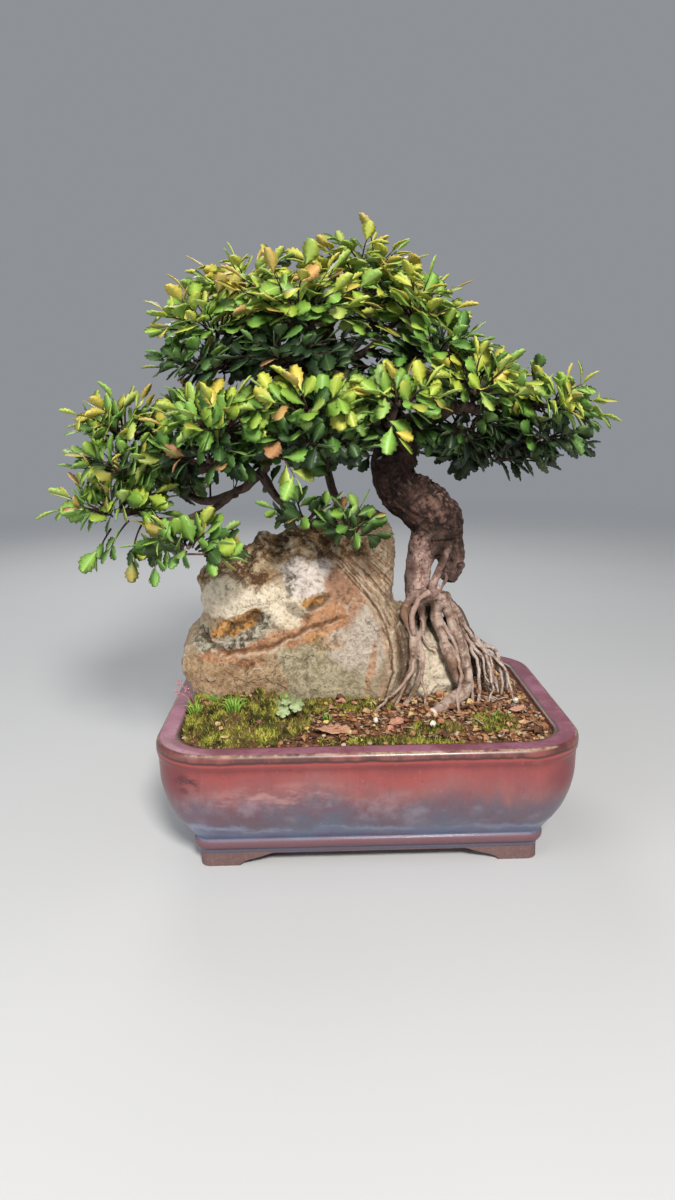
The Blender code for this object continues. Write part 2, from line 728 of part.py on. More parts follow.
def twig_line(middle, half, start):
    """A twig's line from the wood up to just short of its tuft, and the way it points there."""
    start, middle = Vector(start), Vector(middle)
    reach = middle - start
    towards = Vector((reach.x, reach.y, reach.z * 0.6 + 0.006)).normalized()
    hub = Vector([h * share for h, share in zip(half, HUB_SHARE)])
    radius = 1 / math.sqrt(sum((t / h) ** 2 for t, h in zip(towards, hub)))
    end = middle - towards * (radius + STEM_LENGTH)
    bend = (start + end) / 2 + DOWN * TWIG_SAG * (end - start).length
    points = (
        (*start, TWIG_RADIUS * 1.35),
        (*bend, TWIG_RADIUS * 1.15),
        (*(end - towards * TWIG_END_LENGTH), TWIG_END_RADIUS),
        (*end, TWIG_END_RADIUS),
    )
    return through(points, TWIG_STEP), end, towards


def build_wood(roots):
    """Trunk, limbs, roots and twigs, grown together as one piece."""
    pieces = [tube(through(TRUNK, TRUNK_STEP), TRUNK_SIDES, TRUNK_LUMPS)]
    for points in LIMBS.values():
        pieces.append(tube(through(points, LIMB_STEP), LIMB_SIDES, LIMB_LUMPS))
    for line in roots:
        pieces.append(tube(line, ROOT_SIDES, ROOT_LUMPS))
    for middle, half, start in TUFTS.values():
        line, _, _ = twig_line(middle, half, start)
        pieces.append(tube(line, TWIG_SIDES))
    return outer_skin(boolean("UNION", pieces[0], pieces[1:], "MANIFOLD"))


def thickened(points, faces, thickness):
    """A closed blade from the triangles of its upper face, split alike on both faces."""
    count = len(points)
    half = DOWN * (thickness / 2)
    edges = {edge for a, b, c in faces for edge in ((a, b), (b, c), (c, a))}
    sides = []
    for a, b in sorted(edges):
        if (b, a) not in edges:
            sides += [(b, a, a + count), (b, a + count, b + count)]
    below = [(c + count, b + count, a + count) for a, b, c in faces]
    return [p - half for p in points] + [p + half for p in points], [*faces, *below, *sides]


def frond(reach, pairs, leaf, thickness, draw):
    """A twig of leaves as one thin arched blade: a rib with a leaf on each side at each step."""
    step = (reach - 0.9 * leaf) / pairs
    width = min(0.56 * leaf, 0.94 * step * math.sin(LEAF_ANGLE))
    points, faces, ribs = [], [], []

    def add(place):
        points.append(place)
        return len(points) - 1

    def leaf_on(start, end, angle, side, size):
        root = (points[start] + points[end]) / 2
        along = Vector((math.cos(angle), side * math.sin(angle), 0.0))
        across = Vector((-along.y, along.x, 0.0)) * side
        lift = draw.uniform(-0.16, 0.30)
        fold = draw.uniform(0.3, 1.0) * LEAF_FOLD
        ring = []
        for out, aside, raised in LEAF_SHAPE:
            up = raised * fold + (lift - 0.1 * out) * out * size
            ring.append(add(root + along * (out * size) + across * (aside * width) - DOWN * up))
        near, tip, back = ring
        fan = [(end, near, tip), (start, end, tip), (start, tip, back)]
        faces.extend(f if side > 0 else f[::-1] for f in fan)

    for k in range(pairs + 1):
        x = k * step
        z = 0.16 * x - 0.42 * x * x / reach
        ribs.append([add(Vector((x, y, z))) for y in (RIB_HALF_WIDTH, -RIB_HALF_WIDTH)])
    for (left, right), (next_left, next_right) in zip(ribs, ribs[1:]):
        faces += [(right, next_right, next_left), (right, next_left, left)]
        leaf_on(left, next_left, LEAF_ANGLE, 1, leaf * draw.uniform(0.88, 1.0))
        leaf_on(right, next_right, LEAF_ANGLE, -1, leaf * draw.uniform(0.88, 1.0))
    leaf_on(ribs[-1][1], ribs[-1][0], 0.0, -1, leaf)
    return thickened(points, faces, thickness)


def placed(solid, matrix):
    points, faces = solid
    return [matrix @ p for p in points], faces


def frond_matrix(root, azimuth, elevation, roll):
    return (
        Matrix.Translation(root)
        @ Matrix.Rotation(azimuth, 4, "Z")
        @ Matrix.Rotation(-elevation, 4, "Y")
        @ Matrix.Rotation(roll, 4, "X")
    )


def tree_of(solids):
    """One search tree over the faces of several meshes or point and face pairs."""
    points, faces = [], []
    for solid in solids:
        start = len(points)
        points += solid[0]
        faces += [tuple(i + start for i in face) for face in solid[1]]
    return BVHTree.FromPolygons(points, faces)


def as_pair(mesh):
    return [v.co.copy() for v in mesh.vertices], [tuple(p.vertices) for p in mesh.polygons]


def hub_of(middle, half):
    """The dense knot of twigs in the middle of a tuft."""
    middle, half = Vector(middle), Vector(half)
    shape = bmesh.new()
    bmesh.ops.create_uvsphere(shape, u_segments=HUB_SIDES, v_segments=2, radius=1.0)
    for v in shape.verts:
        lump = 1 + HUB_LUMPS * noise.noise(v.co * 2 + middle * 50)
        v.co = middle + Vector([c * h * share for c, h, share in zip(v.co * lump, half, HUB_SHARE)])
    mesh = bpy.data.meshes.new("hub")
    shape.to_mesh(mesh)
    shape.free()
    return mesh


def crosses_outside(solid, own, middle, half):
    """Whether a blade crosses one of its own tuft beyond the knot that they all spring from."""
    if not own:
        return False
    points, faces = solid
    for index, _ in tree_of([solid]).overlap(tree_of(own)):
        centre = sum((points[i] for i in faces[index]), Vector()) / 3 - middle
        if sum((c / (h * share)) ** 2 for c, h, share in zip(centre, half, HUB_SHARE)) > 1.3:
            return True
    return False


def build_tuft(name, others, draw):
    """A tuft of leafy twigs round a small knot of twigs, kept clear of everything in others."""
    middle, half, start = TUFTS[name]
    _, end, towards = twig_line(middle, half, start)
    middle, half = Vector(middle), Vector(half)
    hub = hub_of(middle, half)
    stem_ends = (end + towards * GAP, middle)
    stem = tube([Vector((*place, TWIG_END_RADIUS)) for place in stem_ends], TWIG_SIDES)
    around = tree_of(others)
    if around.overlap(tree_of([as_pair(hub)])):
        print("hub touches a neighbour:", name)
    outward = math.atan2(middle.y - CANOPY_CENTRE.y, middle.x - CANOPY_CENTRE.x)
    pieces = [hub, stem]
    own = []
    wanted = [*FRONDS, UPRIGHT_FROND] if name in WITH_UPRIGHT else FRONDS
    for aside, elevation, pairs in wanted:
        azimuth = outward + aside
        for attempt in range(TRIES):
            turn = azimuth + draw.uniform(-0.10, 0.10) * (1 + attempt)
            rise = elevation + draw.uniform(-0.06, 0.10) * (1 + attempt * 0.7)
            roll = draw.uniform(-0.55, 0.55)
            seed = draw.random()
            flat = 1 / math.hypot(math.cos(turn) / half.x, math.sin(turn) / half.y)
            reach = (flat * math.cos(rise) + 1.25 * half.z * abs(math.sin(rise))) * (1 - 0.02 * attempt)
            if pairs == 1:
                reach *= SMALL_FROND_SHARE
            reach = max(reach, SHORTEST_FROND)
            leaf = LEAF_LENGTH * min(1.0, reach / 0.040)
            root = middle + Vector((math.cos(turn), math.sin(turn), 0.0)) * FROND_ROOT
            matrix = frond_matrix(root, turn, rise, roll)
            room = BLADE_THICKNESS + 2 * BLADE_CLEARANCE
            thick = placed(frond(reach, pairs, leaf * 1.04, room, random.Random(seed)), matrix)
            if around.overlap(tree_of([thick])) or crosses_outside(thick, own, middle, half):
                continue
            blade = placed(frond(reach, pairs, leaf, BLADE_THICKNESS, random.Random(seed)), matrix)
            own.append(blade)
            pieces.append(mesh_from(*blade))
            break
        else:
            print("no room for a frond:", name, round(math.degrees(azimuth)))
    return merged_flats(boolean("UNION", pieces[0], pieces[1:], "MANIFOLD"))


def moss_solid(middle, half, height):
    """A low cushion with a lumpy top, thick enough below to be cut to the soil's own surface."""
    vertices = [Vector((middle[0], middle[1], SOIL_EDGE - MOSS_FOOT))]
    faces = []
    for ring in range(1, MOSS_RINGS + 1):
        share = ring / MOSS_RINGS
        for k in range(MOSS_SIDES):
            turn = 2 * math.pi * k / MOSS_SIDES
            wave = 1 + 0.10 * math.sin(3 * turn + 0.7) + 0.06 * math.sin(7 * turn)
            x = middle[0] + half[0] * share * wave * math.cos(turn)
            y = middle[1] + half[1] * share * wave * math.sin(turn)
            lump = noise.noise(Vector((x * 130, y * 130, 1.0))) * 0.0016
            z = soil_height(x, y) + (height + lump) * (1 - share**3.5) + 0.0009 - 0.0025 * share**6
            vertices.append(Vector((x, y, z)))
    vertices[0].z = soil_height(*middle) + height
    for k in range(MOSS_SIDES):
        faces.append((0, 1 + k, 1 + (k + 1) % MOSS_SIDES))
    for ring in range(MOSS_RINGS - 1):
        for k in range(MOSS_SIDES):
            a = 1 + ring * MOSS_SIDES + k
            b = 1 + ring * MOSS_SIDES + (k + 1) % MOSS_SIDES
            faces.append((a, a + MOSS_SIDES, b + MOSS_SIDES, b))
    outer = [1 + (MOSS_RINGS - 1) * MOSS_SIDES + k for k in range(MOSS_SIDES)]
    start = len(vertices)
    for i in outer:
        vertices.append(Vector((vertices[i].x, vertices[i].y, SOIL_EDGE - MOSS_FOOT)))
    for k in range(MOSS_SIDES):
        j = (k + 1) % MOSS_SIDES
        faces.append((outer[k], start + k, start + j, outer[j]))
    faces.append(tuple(reversed(range(start, start + MOSS_SIDES))))
    mesh = mesh_from(vertices, faces)
    shape = bmesh.new()
    shape.from_mesh(mesh)
    bmesh.ops.triangulate(shape, faces=shape.faces)
    bmesh.ops.recalc_face_normals(shape, faces=shape.faces)
    shape.to_mesh(mesh)
    shape.free()
    return mesh


def surface_below(ground, x, y):
    return ground.ray_cast(Vector((x, y, POT_HEIGHT * 2)), DOWN)[0].z


def fallen_leaf(place, length, turn, ground):
    """A dry curled leaf lying on the ground on its lowest points."""
    draw = random.Random(place[0])
    spin = Matrix.Rotation(math.radians(turn), 4, "Z")
    points = []
    for u, v in DRY_LEAF_OUTLINE:
        curl = DRY_LEAF_CURL * (length * v) ** 2 + draw.uniform(0.0, BLADE_THICKNESS)
        points.append(spin @ Vector((length * (u - 0.5), length * v, curl)) + Vector((*place, 0.0)))
    height = max(surface_below(ground, p.x, p.y) - p.z for p in points)
    lift = Vector((0.0, 0.0, height + BLADE_THICKNESS / 2 + GAP))
    return facing_out(mesh_from(*thickened([p + lift for p in points], DRY_LEAF_FACES, BLADE_THICKNESS)))


def grit_solid(place, size, ground):
    shape = bmesh.new()
    bmesh.ops.create_icosphere(shape, subdivisions=1, radius=size)
    for v in shape.verts:
        v.co *= 1 + 0.35 * noise.noise(v.co * 700 + Vector((*place, 0.0)) * 90)
    height = max(surface_below(ground, place[0] + v.co.x, place[1] + v.co.y) - v.co.z for v in shape.verts)
    bmesh.ops.translate(shape, verts=shape.verts, vec=(*place, height + GAP))
    mesh = bpy.data.meshes.new("grit")
    shape.to_mesh(mesh)
    shape.free()
    return mesh


def lobed_leaf(root, turn):
    """A small leaf with three cut lobes."""
    matrix = Matrix.Translation(root) @ Matrix.Rotation(turn, 4, "Z")
    points = [matrix @ (Vector((u, v, 0.14 * u)) * SEEDLING_LEAF) for u, v in SEEDLING_LOBES]
    return facing_out(mesh_from(*thickened(points, SEEDLING_FACES, BLADE_THICKNESS)))


def seedling_parts(ground):
    """A seedling, and the plain hole in the moss that it stands in."""
    x, y = SEEDLING_PLACE
    surface = surface_below(ground, x, y)
    foot = Vector((x, y, surface - SEEDLING_DEPTH))
    neck = Vector((x, y, surface + GAP))
    top = Vector((x + 0.003, y - 0.002, surface + SEEDLING_HEIGHT))
    stem = tube([Vector((*place, SEEDLING_RADIUS)) for place in (foot, neck, top)], TWIG_SIDES)
    leaves = [lobed_leaf(top + DOWN * k * 0.002, turn) for k, turn in enumerate(SEEDLING_TURNS)]
    hole = upright_cylinder(x, y, SEEDLING_RADIUS + GAP, foot.z - GAP, surface + SEEDLING_HEIGHT, 8)
    return merged_flats(boolean("UNION", stem, leaves)), hole


def centre_on_box(objects):
    """Moves the model so that the origin is the bottom centre of its box."""
    corners = [v.co for obj in objects for v in obj.data.vertices]
    low = Vector([min(c[i] for c in corners) for i in range(3)])
    high = Vector([max(c[i] for c in corners) for i in range(3)])
    shift = Vector((-(low.x + high.x) / 2, -(low.y + high.y) / 2, -low.z))
    for obj in objects:
        obj.data.transform(Matrix.Translation(shift))
    print("shift", [round(s, 5) for s in shift], "box", [round(s, 4) for s in high - low])


def main():
    clear_scene()
    glaze = finish_of("oxblood_glaze", (0.36, 0.10, 0.09), 0.25)
    screen_plastic = finish_of("screen_plastic", (0.03, 0.03, 0.03), 0.6)
    earth = finish_of("potting_soil", (0.10, 0.045, 0.025), 0.95)
    rock = finish_of("stone", (0.52, 0.43, 0.33), 0.85)
    bark = finish_of("bark", (0.22, 0.13, 0.10), 0.8)
    leaf_green = finish_of("foliage", (0.20, 0.34, 0.05), 0.5)
    moss_green = finish_of("moss", (0.14, 0.18, 0.03), 0.95)
    dry_leaf = finish_of("dry_leaf", (0.38, 0.14, 0.08), 0.7)
    grit_white = finish_of("grit", (0.80, 0.78, 0.72), 0.9)
    seedling_green = finish_of("seedling", (0.33, 0.45, 0.20), 0.5)

    made = [add_node("pot", build_pot(), glaze, 35)]
    for name, x in (("drain_screen_left", -DRAIN_OFFSET), ("drain_screen_right", DRAIN_OFFSET)):
        made.append(add_node(name, build_screen(x), screen_plastic))

    stone = stone_solid()
    roots = root_lines(stone)
    wood = build_wood(roots)
    stone_pit = stone_solid(GAP)
    root_holes = [tube(line, ROOT_SIDES, ROOT_LUMPS, GAP) for line in roots]
    soil = boolean("DIFFERENCE", soil_solid(), [stone_pit, *root_holes])
    raised_soil = soil_solid(GAP)
    ground = BVHTree.FromPolygons(*as_pair(raised_soil))

    banks = {}
    for name, shape in MOSS_BANKS.items():
        banks[name] = boolean("DIFFERENCE", moss_solid(*shape), [raised_soil, stone_pit, *root_holes])
    moss_ground = BVHTree.FromPolygons(*as_pair(banks["moss_bank"]))
    seedling, hole = seedling_parts(moss_ground)
    banks["moss_bank"] = boolean("DIFFERENCE", banks["moss_bank"], [hole])

    made.append(add_node("soil", soil, earth))
    made.append(add_node("stone", stone, rock))
    made.append(add_node("trunk_and_roots", wood, bark, 50))
    for name, mesh in banks.items():
        made.append(add_node(name, mesh, moss_green))
    made.append(add_node("seedling", seedling, seedling_green))
    for name, (place, length, turn) in FALLEN_LEAVES.items():
        made.append(add_node(name, fallen_leaf(place, length, turn, ground), dry_leaf))
    for name, (place, size) in GRIT.items():
        made.append(add_node(name, grit_solid(place, size, ground), grit_white))

    others = [as_pair(obj.data) for obj in made]
    draw = random.Random(11)
    hubs = {name: as_pair(hub_of(middle, half)) for name, (middle, half, _) in TUFTS.items()}
    for name in TUFTS:
        other_hubs = [hub for other, hub in hubs.items() if other != name]
        tuft = build_tuft(name, others + other_hubs, draw)
        made.append(add_node("foliage_" + name, tuft, leaf_green))
        others.append(as_pair(tuft))
    centre_on_box(made)


main()
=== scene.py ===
"""The looks of a small-leaved elm grown over a stone, in a glazed footed pot.

Metres, +Z up. Shapes are laid out about the middle of the pot's foot print, with the front of the pot
towards -Y, and each is moved to the frame's own place as it is added.
"""

import math
import random

import bmesh
import bpy
from mathutils import Matrix, Vector, noise
from mathutils.bvhtree import BVHTree
from mathutils.kdtree import KDTree


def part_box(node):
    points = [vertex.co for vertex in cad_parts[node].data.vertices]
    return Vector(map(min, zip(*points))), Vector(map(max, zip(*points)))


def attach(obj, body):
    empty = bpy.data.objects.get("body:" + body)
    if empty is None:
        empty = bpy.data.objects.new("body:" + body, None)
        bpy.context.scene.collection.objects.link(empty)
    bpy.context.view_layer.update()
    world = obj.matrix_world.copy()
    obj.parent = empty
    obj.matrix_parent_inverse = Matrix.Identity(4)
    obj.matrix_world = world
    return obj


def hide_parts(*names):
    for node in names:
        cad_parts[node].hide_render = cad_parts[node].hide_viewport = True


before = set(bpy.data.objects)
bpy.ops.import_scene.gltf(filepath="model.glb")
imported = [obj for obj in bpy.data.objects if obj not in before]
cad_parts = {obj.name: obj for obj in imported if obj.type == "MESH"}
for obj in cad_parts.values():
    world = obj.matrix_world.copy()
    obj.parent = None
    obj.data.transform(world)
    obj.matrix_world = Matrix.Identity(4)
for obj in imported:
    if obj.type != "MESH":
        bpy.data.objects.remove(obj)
# Without a seed of its own noise_vector starts from the clock
noise.seed_set(7)
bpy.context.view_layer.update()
pot_low, pot_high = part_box("pot")
SHIFT = Vector(((pot_low.x + pot_high.x) / 2, (pot_low.y + pot_high.y) / 2, 0.0))
UP = Vector((0.0, 0.0, 1.0))
GOLDEN_ANGLE = 2.39996
FULL_TURN = 6.28

# The camera, from the photograph: 850 pixels of focal length on a frame 675 by 1200
LENS = 25.5
SENSOR = 36.0
CAMERA_PLACE = Vector((-0.0297, -0.6421, 0.3177))
CAMERA_YAW = math.radians(-0.985)
CAMERA_PITCH = math.radians(12.564)
CAMERA_ROLL = math.radians(-0.901)

FLOOR_RADIUS = 3.0

# The pot
POT_WIDTH = 0.3
POT_DEPTH = 0.232
POT_CORNER = 0.046
OUTSIDE_SHARPENS = 1.35
INSIDE_SHARPENS = 1.0
SMALLEST_CORNER = 0.006
CORNER_STEPS = 12
SIDE_STEPS = (30, 22)
POT_OUTSIDE = (
    (0.0298, 0.0095), (0.0288, 0.0105), (0.0284, 0.0142), (0.0256, 0.0152), (0.0246, 0.0182),
    (0.0246, 0.0212), (0.0262, 0.0226), (0.025, 0.0244), (0.0205, 0.0296), (0.0138, 0.0368), (0.0084, 0.0452),
    (0.0044, 0.0548), (0.0018, 0.0665), (0.0016, 0.076), (0.0014, 0.0838), (0.0, 0.0862), (0.0, 0.093),
    (0.0018, 0.0957), (0.0045, 0.096), (0.0105, 0.0961),
)
POT_INSIDE = (
    (0.016, 0.0956), (0.0176, 0.094), (0.019, 0.085), (0.02, 0.06), (0.026, 0.04),
    (0.038, 0.024), (0.048, 0.019),
)
FOOT_INSET = 0.029
FOOT_THICKNESS = 0.015
FOOT_TOP = 0.0112
FOOT_LENGTH = 0.0285
FOOT_SOFTNESS = 0.0007
FOOT_CORNER_STEPS = 8
FOOT_SIDE_STEPS = (110, 84)
# How far in from a foot's end, and how high the foot's lower edge is there
FOOT_SHAPE = ((0.0, 0.0), (0.0014, 0.0024), (0.006, 0.004), (0.015, 0.0064), (0.023, 0.0092))
DRAIN_RADIUS = 0.011
DRAIN_OFFSET = 0.055
DRAIN_SIDES = 28

# The ground in the pot
SOIL_EDGE = 0.0925
SOIL_INSET = 0.0178
SOIL_RISE = 0.012
SOIL_FADE_INSET = 0.018
SOIL_ROUGHNESS = 0.0012
SOIL_FLOOR = 0.022
SOIL_SHOULDER = 0.06
SOIL_ROWS = 62
SOIL_REACH = (0.132, 0.098)
CRUMBS = 4200
GRIT_CRUMBS = 46
DEAD_TWIGS = 90
# Two corners of each stretch of soil with dead leaves on it, and their number
LITTER = (
    ((-0.03, -0.098), (0.132, -0.03), 250), ((0.03, -0.06), (0.132, 0.095), 110),
    ((-0.132, -0.098), (-0.02, -0.03), 30), ((-0.132, 0.05), (0.132, 0.098), 80),
)
MOSS_SPIKES = 14500
MOSS_ROWS, MOSS_COLUMNS = 150, 190
MOSS_LEFT, MOSS_RIGHT, MOSS_FRONT, MOSS_BACK = -0.134, 0.134, -0.0985, 0.03
# Middle and half size of each patch of moss, how ragged its edge is and how far drawn in, its depth,
# how steeply it rises and whether it is lumpy
MOSS_SPOTS = (
    ((-0.088, -0.063), (0.053, 0.037), 1.0, 0.0, 0.013, 1.7, True),
    ((-0.125, -0.034), (0.015, 0.054), 1.0, 0.0, 0.0122, 1.6, True),
    ((-0.02, -0.043), (0.05, 0.013), 1.0, 0.0, 0.003, 1.8, False),
    ((0.092, -0.07), (0.021, 0.015), 1.0, 0.0, 0.0038, 1.6, False),
    ((0.02, -0.092), (0.09, 0.01), 2.2, 0.35, 0.0018, 2.0, False),
    ((0.048, -0.08), (0.024, 0.009), 1.6, 0.0, 0.0024, 1.6, False),
)
LOBES = 5
# The seedling's leaves: which way, how far out, how high and how large
LOBED_LEAVES = (
    (0.4, 0.0065, 0.01, 0.0052), (2.3, 0.0075, 0.008, 0.0058), (4.1, 0.006, 0.0065, 0.005),
    (5.4, 0.0085, 0.0105, 0.0046), (3.2, 0.0015, 0.0125, 0.004),
)
# Where each tuft of grass stands, its blades and its height
GRASS = (
    (-0.094, -0.073, 34, 0.012), (-0.11, -0.05, 14, 0.008), (-0.027, -0.067, 12, 0.007),
    (0.088, -0.072, 10, 0.006), (-0.123, -0.06, 16, 0.009), (-0.06, -0.06, 12, 0.007),
)
SEED_STALK = Vector((-0.127, -0.036, 0.0))
SEED_HEADS = ((-0.01, 0.019), (-0.005, 0.014), (-0.013, 0.012))

# The stone: the step across its front, where the lower block stands forward, as (x, z)
LEDGE = (
    (-0.142, 0.157), (-0.128, 0.152), (-0.104, 0.1395), (-0.0726, 0.1435), (-0.0454, 0.156),
    (-0.018, 0.164), (0.0, 0.166),
)
# The bowed layers down its right side
STRATA_REACH = 0.0225
STRATA_BOW = 7.5
STRATA_MIDDLE = 0.133
FISSURES = ((-0.001, 0.0026), (0.0058, 0.0013), (0.0125, 0.0016))
STONE_BOTTOM = 0.086
# Worn flats: a point on each, the way it faces and how far it reaches
STONE_CUTS = (
    ((-0.045, -0.032, 0.126), (0.06, -1.0, 0.1), 0.03),
    ((-0.108, -0.033, 0.13), (-0.16, -1.0, 0.06), 0.026),
    ((-0.1395, -0.01, 0.13), (-1.0, -0.3, 0.06), 0.04),
    ((-0.092, -0.0255, 0.186), (-0.1, -1.0, 0.1), 0.026),
    ((-0.044, -0.0165, 0.205), (0.1, -1.0, 0.4), 0.026),
    ((-0.006, -0.03, 0.152), (0.22, -1.0, 0.26), 0.026),
    ((0.01, -0.016, 0.2), (0.36, -1.0, 0.24), 0.026),
    ((-0.122, -0.022, 0.19), (-1.0, -0.7, 0.2), 0.02),
    ((0.06, -0.03, 0.118), (0.3, -1.0, 0.3), 0.02),
    ((-0.09, 0.05, 0.135), (-0.2, 1.0, 0.1), 0.045),
    ((0.0, 0.052, 0.125), (0.15, 1.0, 0.12), 0.045),
    ((-0.03, 0.04, 0.19), (0.05, 1.0, 0.3), 0.045),
    ((-0.1, 0.04, 0.19), (-0.45, 1.0, 0.25), 0.04),
    ((-0.138, 0.02, 0.15), (-1.0, 0.35, 0.12), 0.04),
)

# The wood: x, y, z and radius at each point
TRUNK = (
    (0.06, 0.011, 0.22, 0.019), (0.058, 0.012, 0.235, 0.021), (0.046, 0.012, 0.247, 0.0195),
    (0.031, 0.01, 0.259, 0.018), (0.0255, 0.01, 0.273, 0.0165), (0.0275, 0.01, 0.288, 0.0165),
    (0.0245, 0.01, 0.303, 0.0155), (0.014, 0.008, 0.316, 0.013), (0.0, 0.008, 0.326, 0.0112),
    (-0.014, 0.01, 0.337, 0.0098), (-0.02, 0.012, 0.351, 0.0085), (-0.0225, 0.012, 0.366, 0.0072),
    (-0.024, 0.012, 0.378, 0.006),
)
LEGS = (
    ((0.057, 0.01, 0.224, 0.016), (0.049, 0.009, 0.213, 0.013), (0.0445, 0.006, 0.2, 0.01),
     (0.044, 0.003, 0.186, 0.0098), (0.044, 0.001, 0.174, 0.01)),
    ((0.062, 0.012, 0.226, 0.0165), (0.068, 0.011, 0.213, 0.0124), (0.0705, 0.009, 0.204, 0.0108),
     (0.07, 0.007, 0.195, 0.0086), (0.067, 0.004, 0.187, 0.006)),
)
BRANCHES = (
    ((0.022, 0.006, 0.303, 0.011), (0.0, -0.005, 0.304, 0.0085), (-0.015, -0.01, 0.302, 0.007),
     (-0.044, -0.018, 0.2975, 0.0062), (-0.073, -0.023, 0.291, 0.0055), (-0.094, -0.025, 0.286, 0.0045),
     (-0.112, -0.025, 0.279, 0.0038)),
    ((-0.07, -0.022, 0.292, 0.0045), (-0.0745, -0.021, 0.274, 0.004), (-0.089, -0.02, 0.261, 0.0037),
     (-0.115, -0.02, 0.247, 0.003), (-0.135, -0.022, 0.24, 0.0026)),
    ((0.027, 0.012, 0.291, 0.0105), (0.046, 0.016, 0.297, 0.0066), (0.07, 0.02, 0.297, 0.005),
     (0.092, 0.023, 0.292, 0.0038)),
    ((0.024, 0.008, 0.302, 0.01), (0.048, -0.003, 0.311, 0.0064), (0.072, -0.012, 0.317, 0.005),
     (0.1, -0.015, 0.321, 0.0038)),
    ((-0.012, 0.01, 0.334, 0.008), (-0.034, 0.0, 0.345, 0.006), (-0.052, -0.008, 0.357, 0.0048)),
)
ROOTS = (
    ((0.042, -0.001, 0.18, 0.006), (0.0345, -0.008, 0.17, 0.0046), (0.0345, -0.016, 0.157, 0.0042),
     (0.038, -0.024, 0.143, 0.0042), (0.0375, -0.03, 0.131, 0.004), (0.031, -0.034, 0.118, 0.0035),
     (0.021, -0.039, 0.106, 0.0028), (0.011, -0.044, 0.098, 0.0022), (0.005, -0.047, 0.091, 0.0018)),
    ((0.046, -0.004, 0.174, 0.0055), (0.046, -0.014, 0.16, 0.0036), (0.043, -0.024, 0.146, 0.0034),
     (0.043, -0.031, 0.132, 0.0034), (0.04, -0.036, 0.118, 0.0032), (0.032, -0.042, 0.106, 0.0028),
     (0.025, -0.048, 0.098, 0.0022), (0.021, -0.051, 0.089, 0.0018)),
    ((0.042, -0.001, 0.175, 0.007), (0.051, -0.006, 0.176, 0.0062), (0.06, -0.007, 0.177, 0.006)),
    ((0.0675, -0.001, 0.213, 0.003), (0.0615, -0.009, 0.208, 0.0031), (0.057, -0.013, 0.2, 0.003),
     (0.0545, -0.013, 0.19, 0.0031), (0.055, -0.01, 0.178, 0.0036)),
    ((0.057, -0.006, 0.178, 0.006), (0.058, -0.013, 0.165, 0.0052), (0.06, -0.02, 0.152, 0.0048),
     (0.064, -0.024, 0.138, 0.0044), (0.068, -0.026, 0.124, 0.004), (0.074, -0.029, 0.112, 0.0034)),
    ((0.06, -0.005, 0.178, 0.0062), (0.067, -0.01, 0.163, 0.0052), (0.0725, -0.016, 0.147, 0.0048),
     (0.0765, -0.024, 0.13, 0.0045), (0.078, -0.03, 0.117, 0.0041), (0.074, -0.035, 0.106, 0.0032),
     (0.069, -0.04, 0.097, 0.0022), (0.067, -0.042, 0.088, 0.0016)),
    ((0.06, -0.002, 0.178, 0.006), (0.071, -0.001, 0.165, 0.005), (0.08, 0.0, 0.151, 0.0046),
     (0.087, 0.002, 0.14, 0.004), (0.095, 0.002, 0.127, 0.0034), (0.102, 0.001, 0.113, 0.0028),
     (0.107, 0.0, 0.1, 0.0022), (0.109, -0.001, 0.088, 0.0016)),
    ((0.084, 0.001, 0.144, 0.0034), (0.094, 0.001, 0.138, 0.003), (0.103, -0.002, 0.131, 0.0028),
     (0.109, -0.005, 0.118, 0.0024), (0.113, -0.007, 0.102, 0.002), (0.114, -0.008, 0.088, 0.0016)),
    ((0.084, 0.001, 0.144, 0.0032), (0.09, -0.006, 0.13, 0.0026), (0.096, -0.011, 0.115, 0.0023),
     (0.099, -0.014, 0.1, 0.002), (0.1, -0.015, 0.088, 0.0016)),
    ((0.0785, -0.03, 0.115, 0.0042), (0.07, -0.038, 0.1075, 0.0046), (0.058, -0.048, 0.1025, 0.0047),
     (0.048, -0.056, 0.1, 0.0046)),
    ((0.064, 0.002, 0.176, 0.0056), (0.078, 0.014, 0.156, 0.0046), (0.089, 0.024, 0.132, 0.0038),
     (0.096, 0.031, 0.11, 0.003), (0.099, 0.034, 0.088, 0.0018)),
    ((0.05, 0.006, 0.178, 0.006), (0.056, 0.03, 0.166, 0.0048), (0.06, 0.048, 0.148, 0.0042),
     (0.064, 0.06, 0.122, 0.0034), (0.066, 0.066, 0.102, 0.0026), (0.067, 0.068, 0.088, 0.0018)),
)
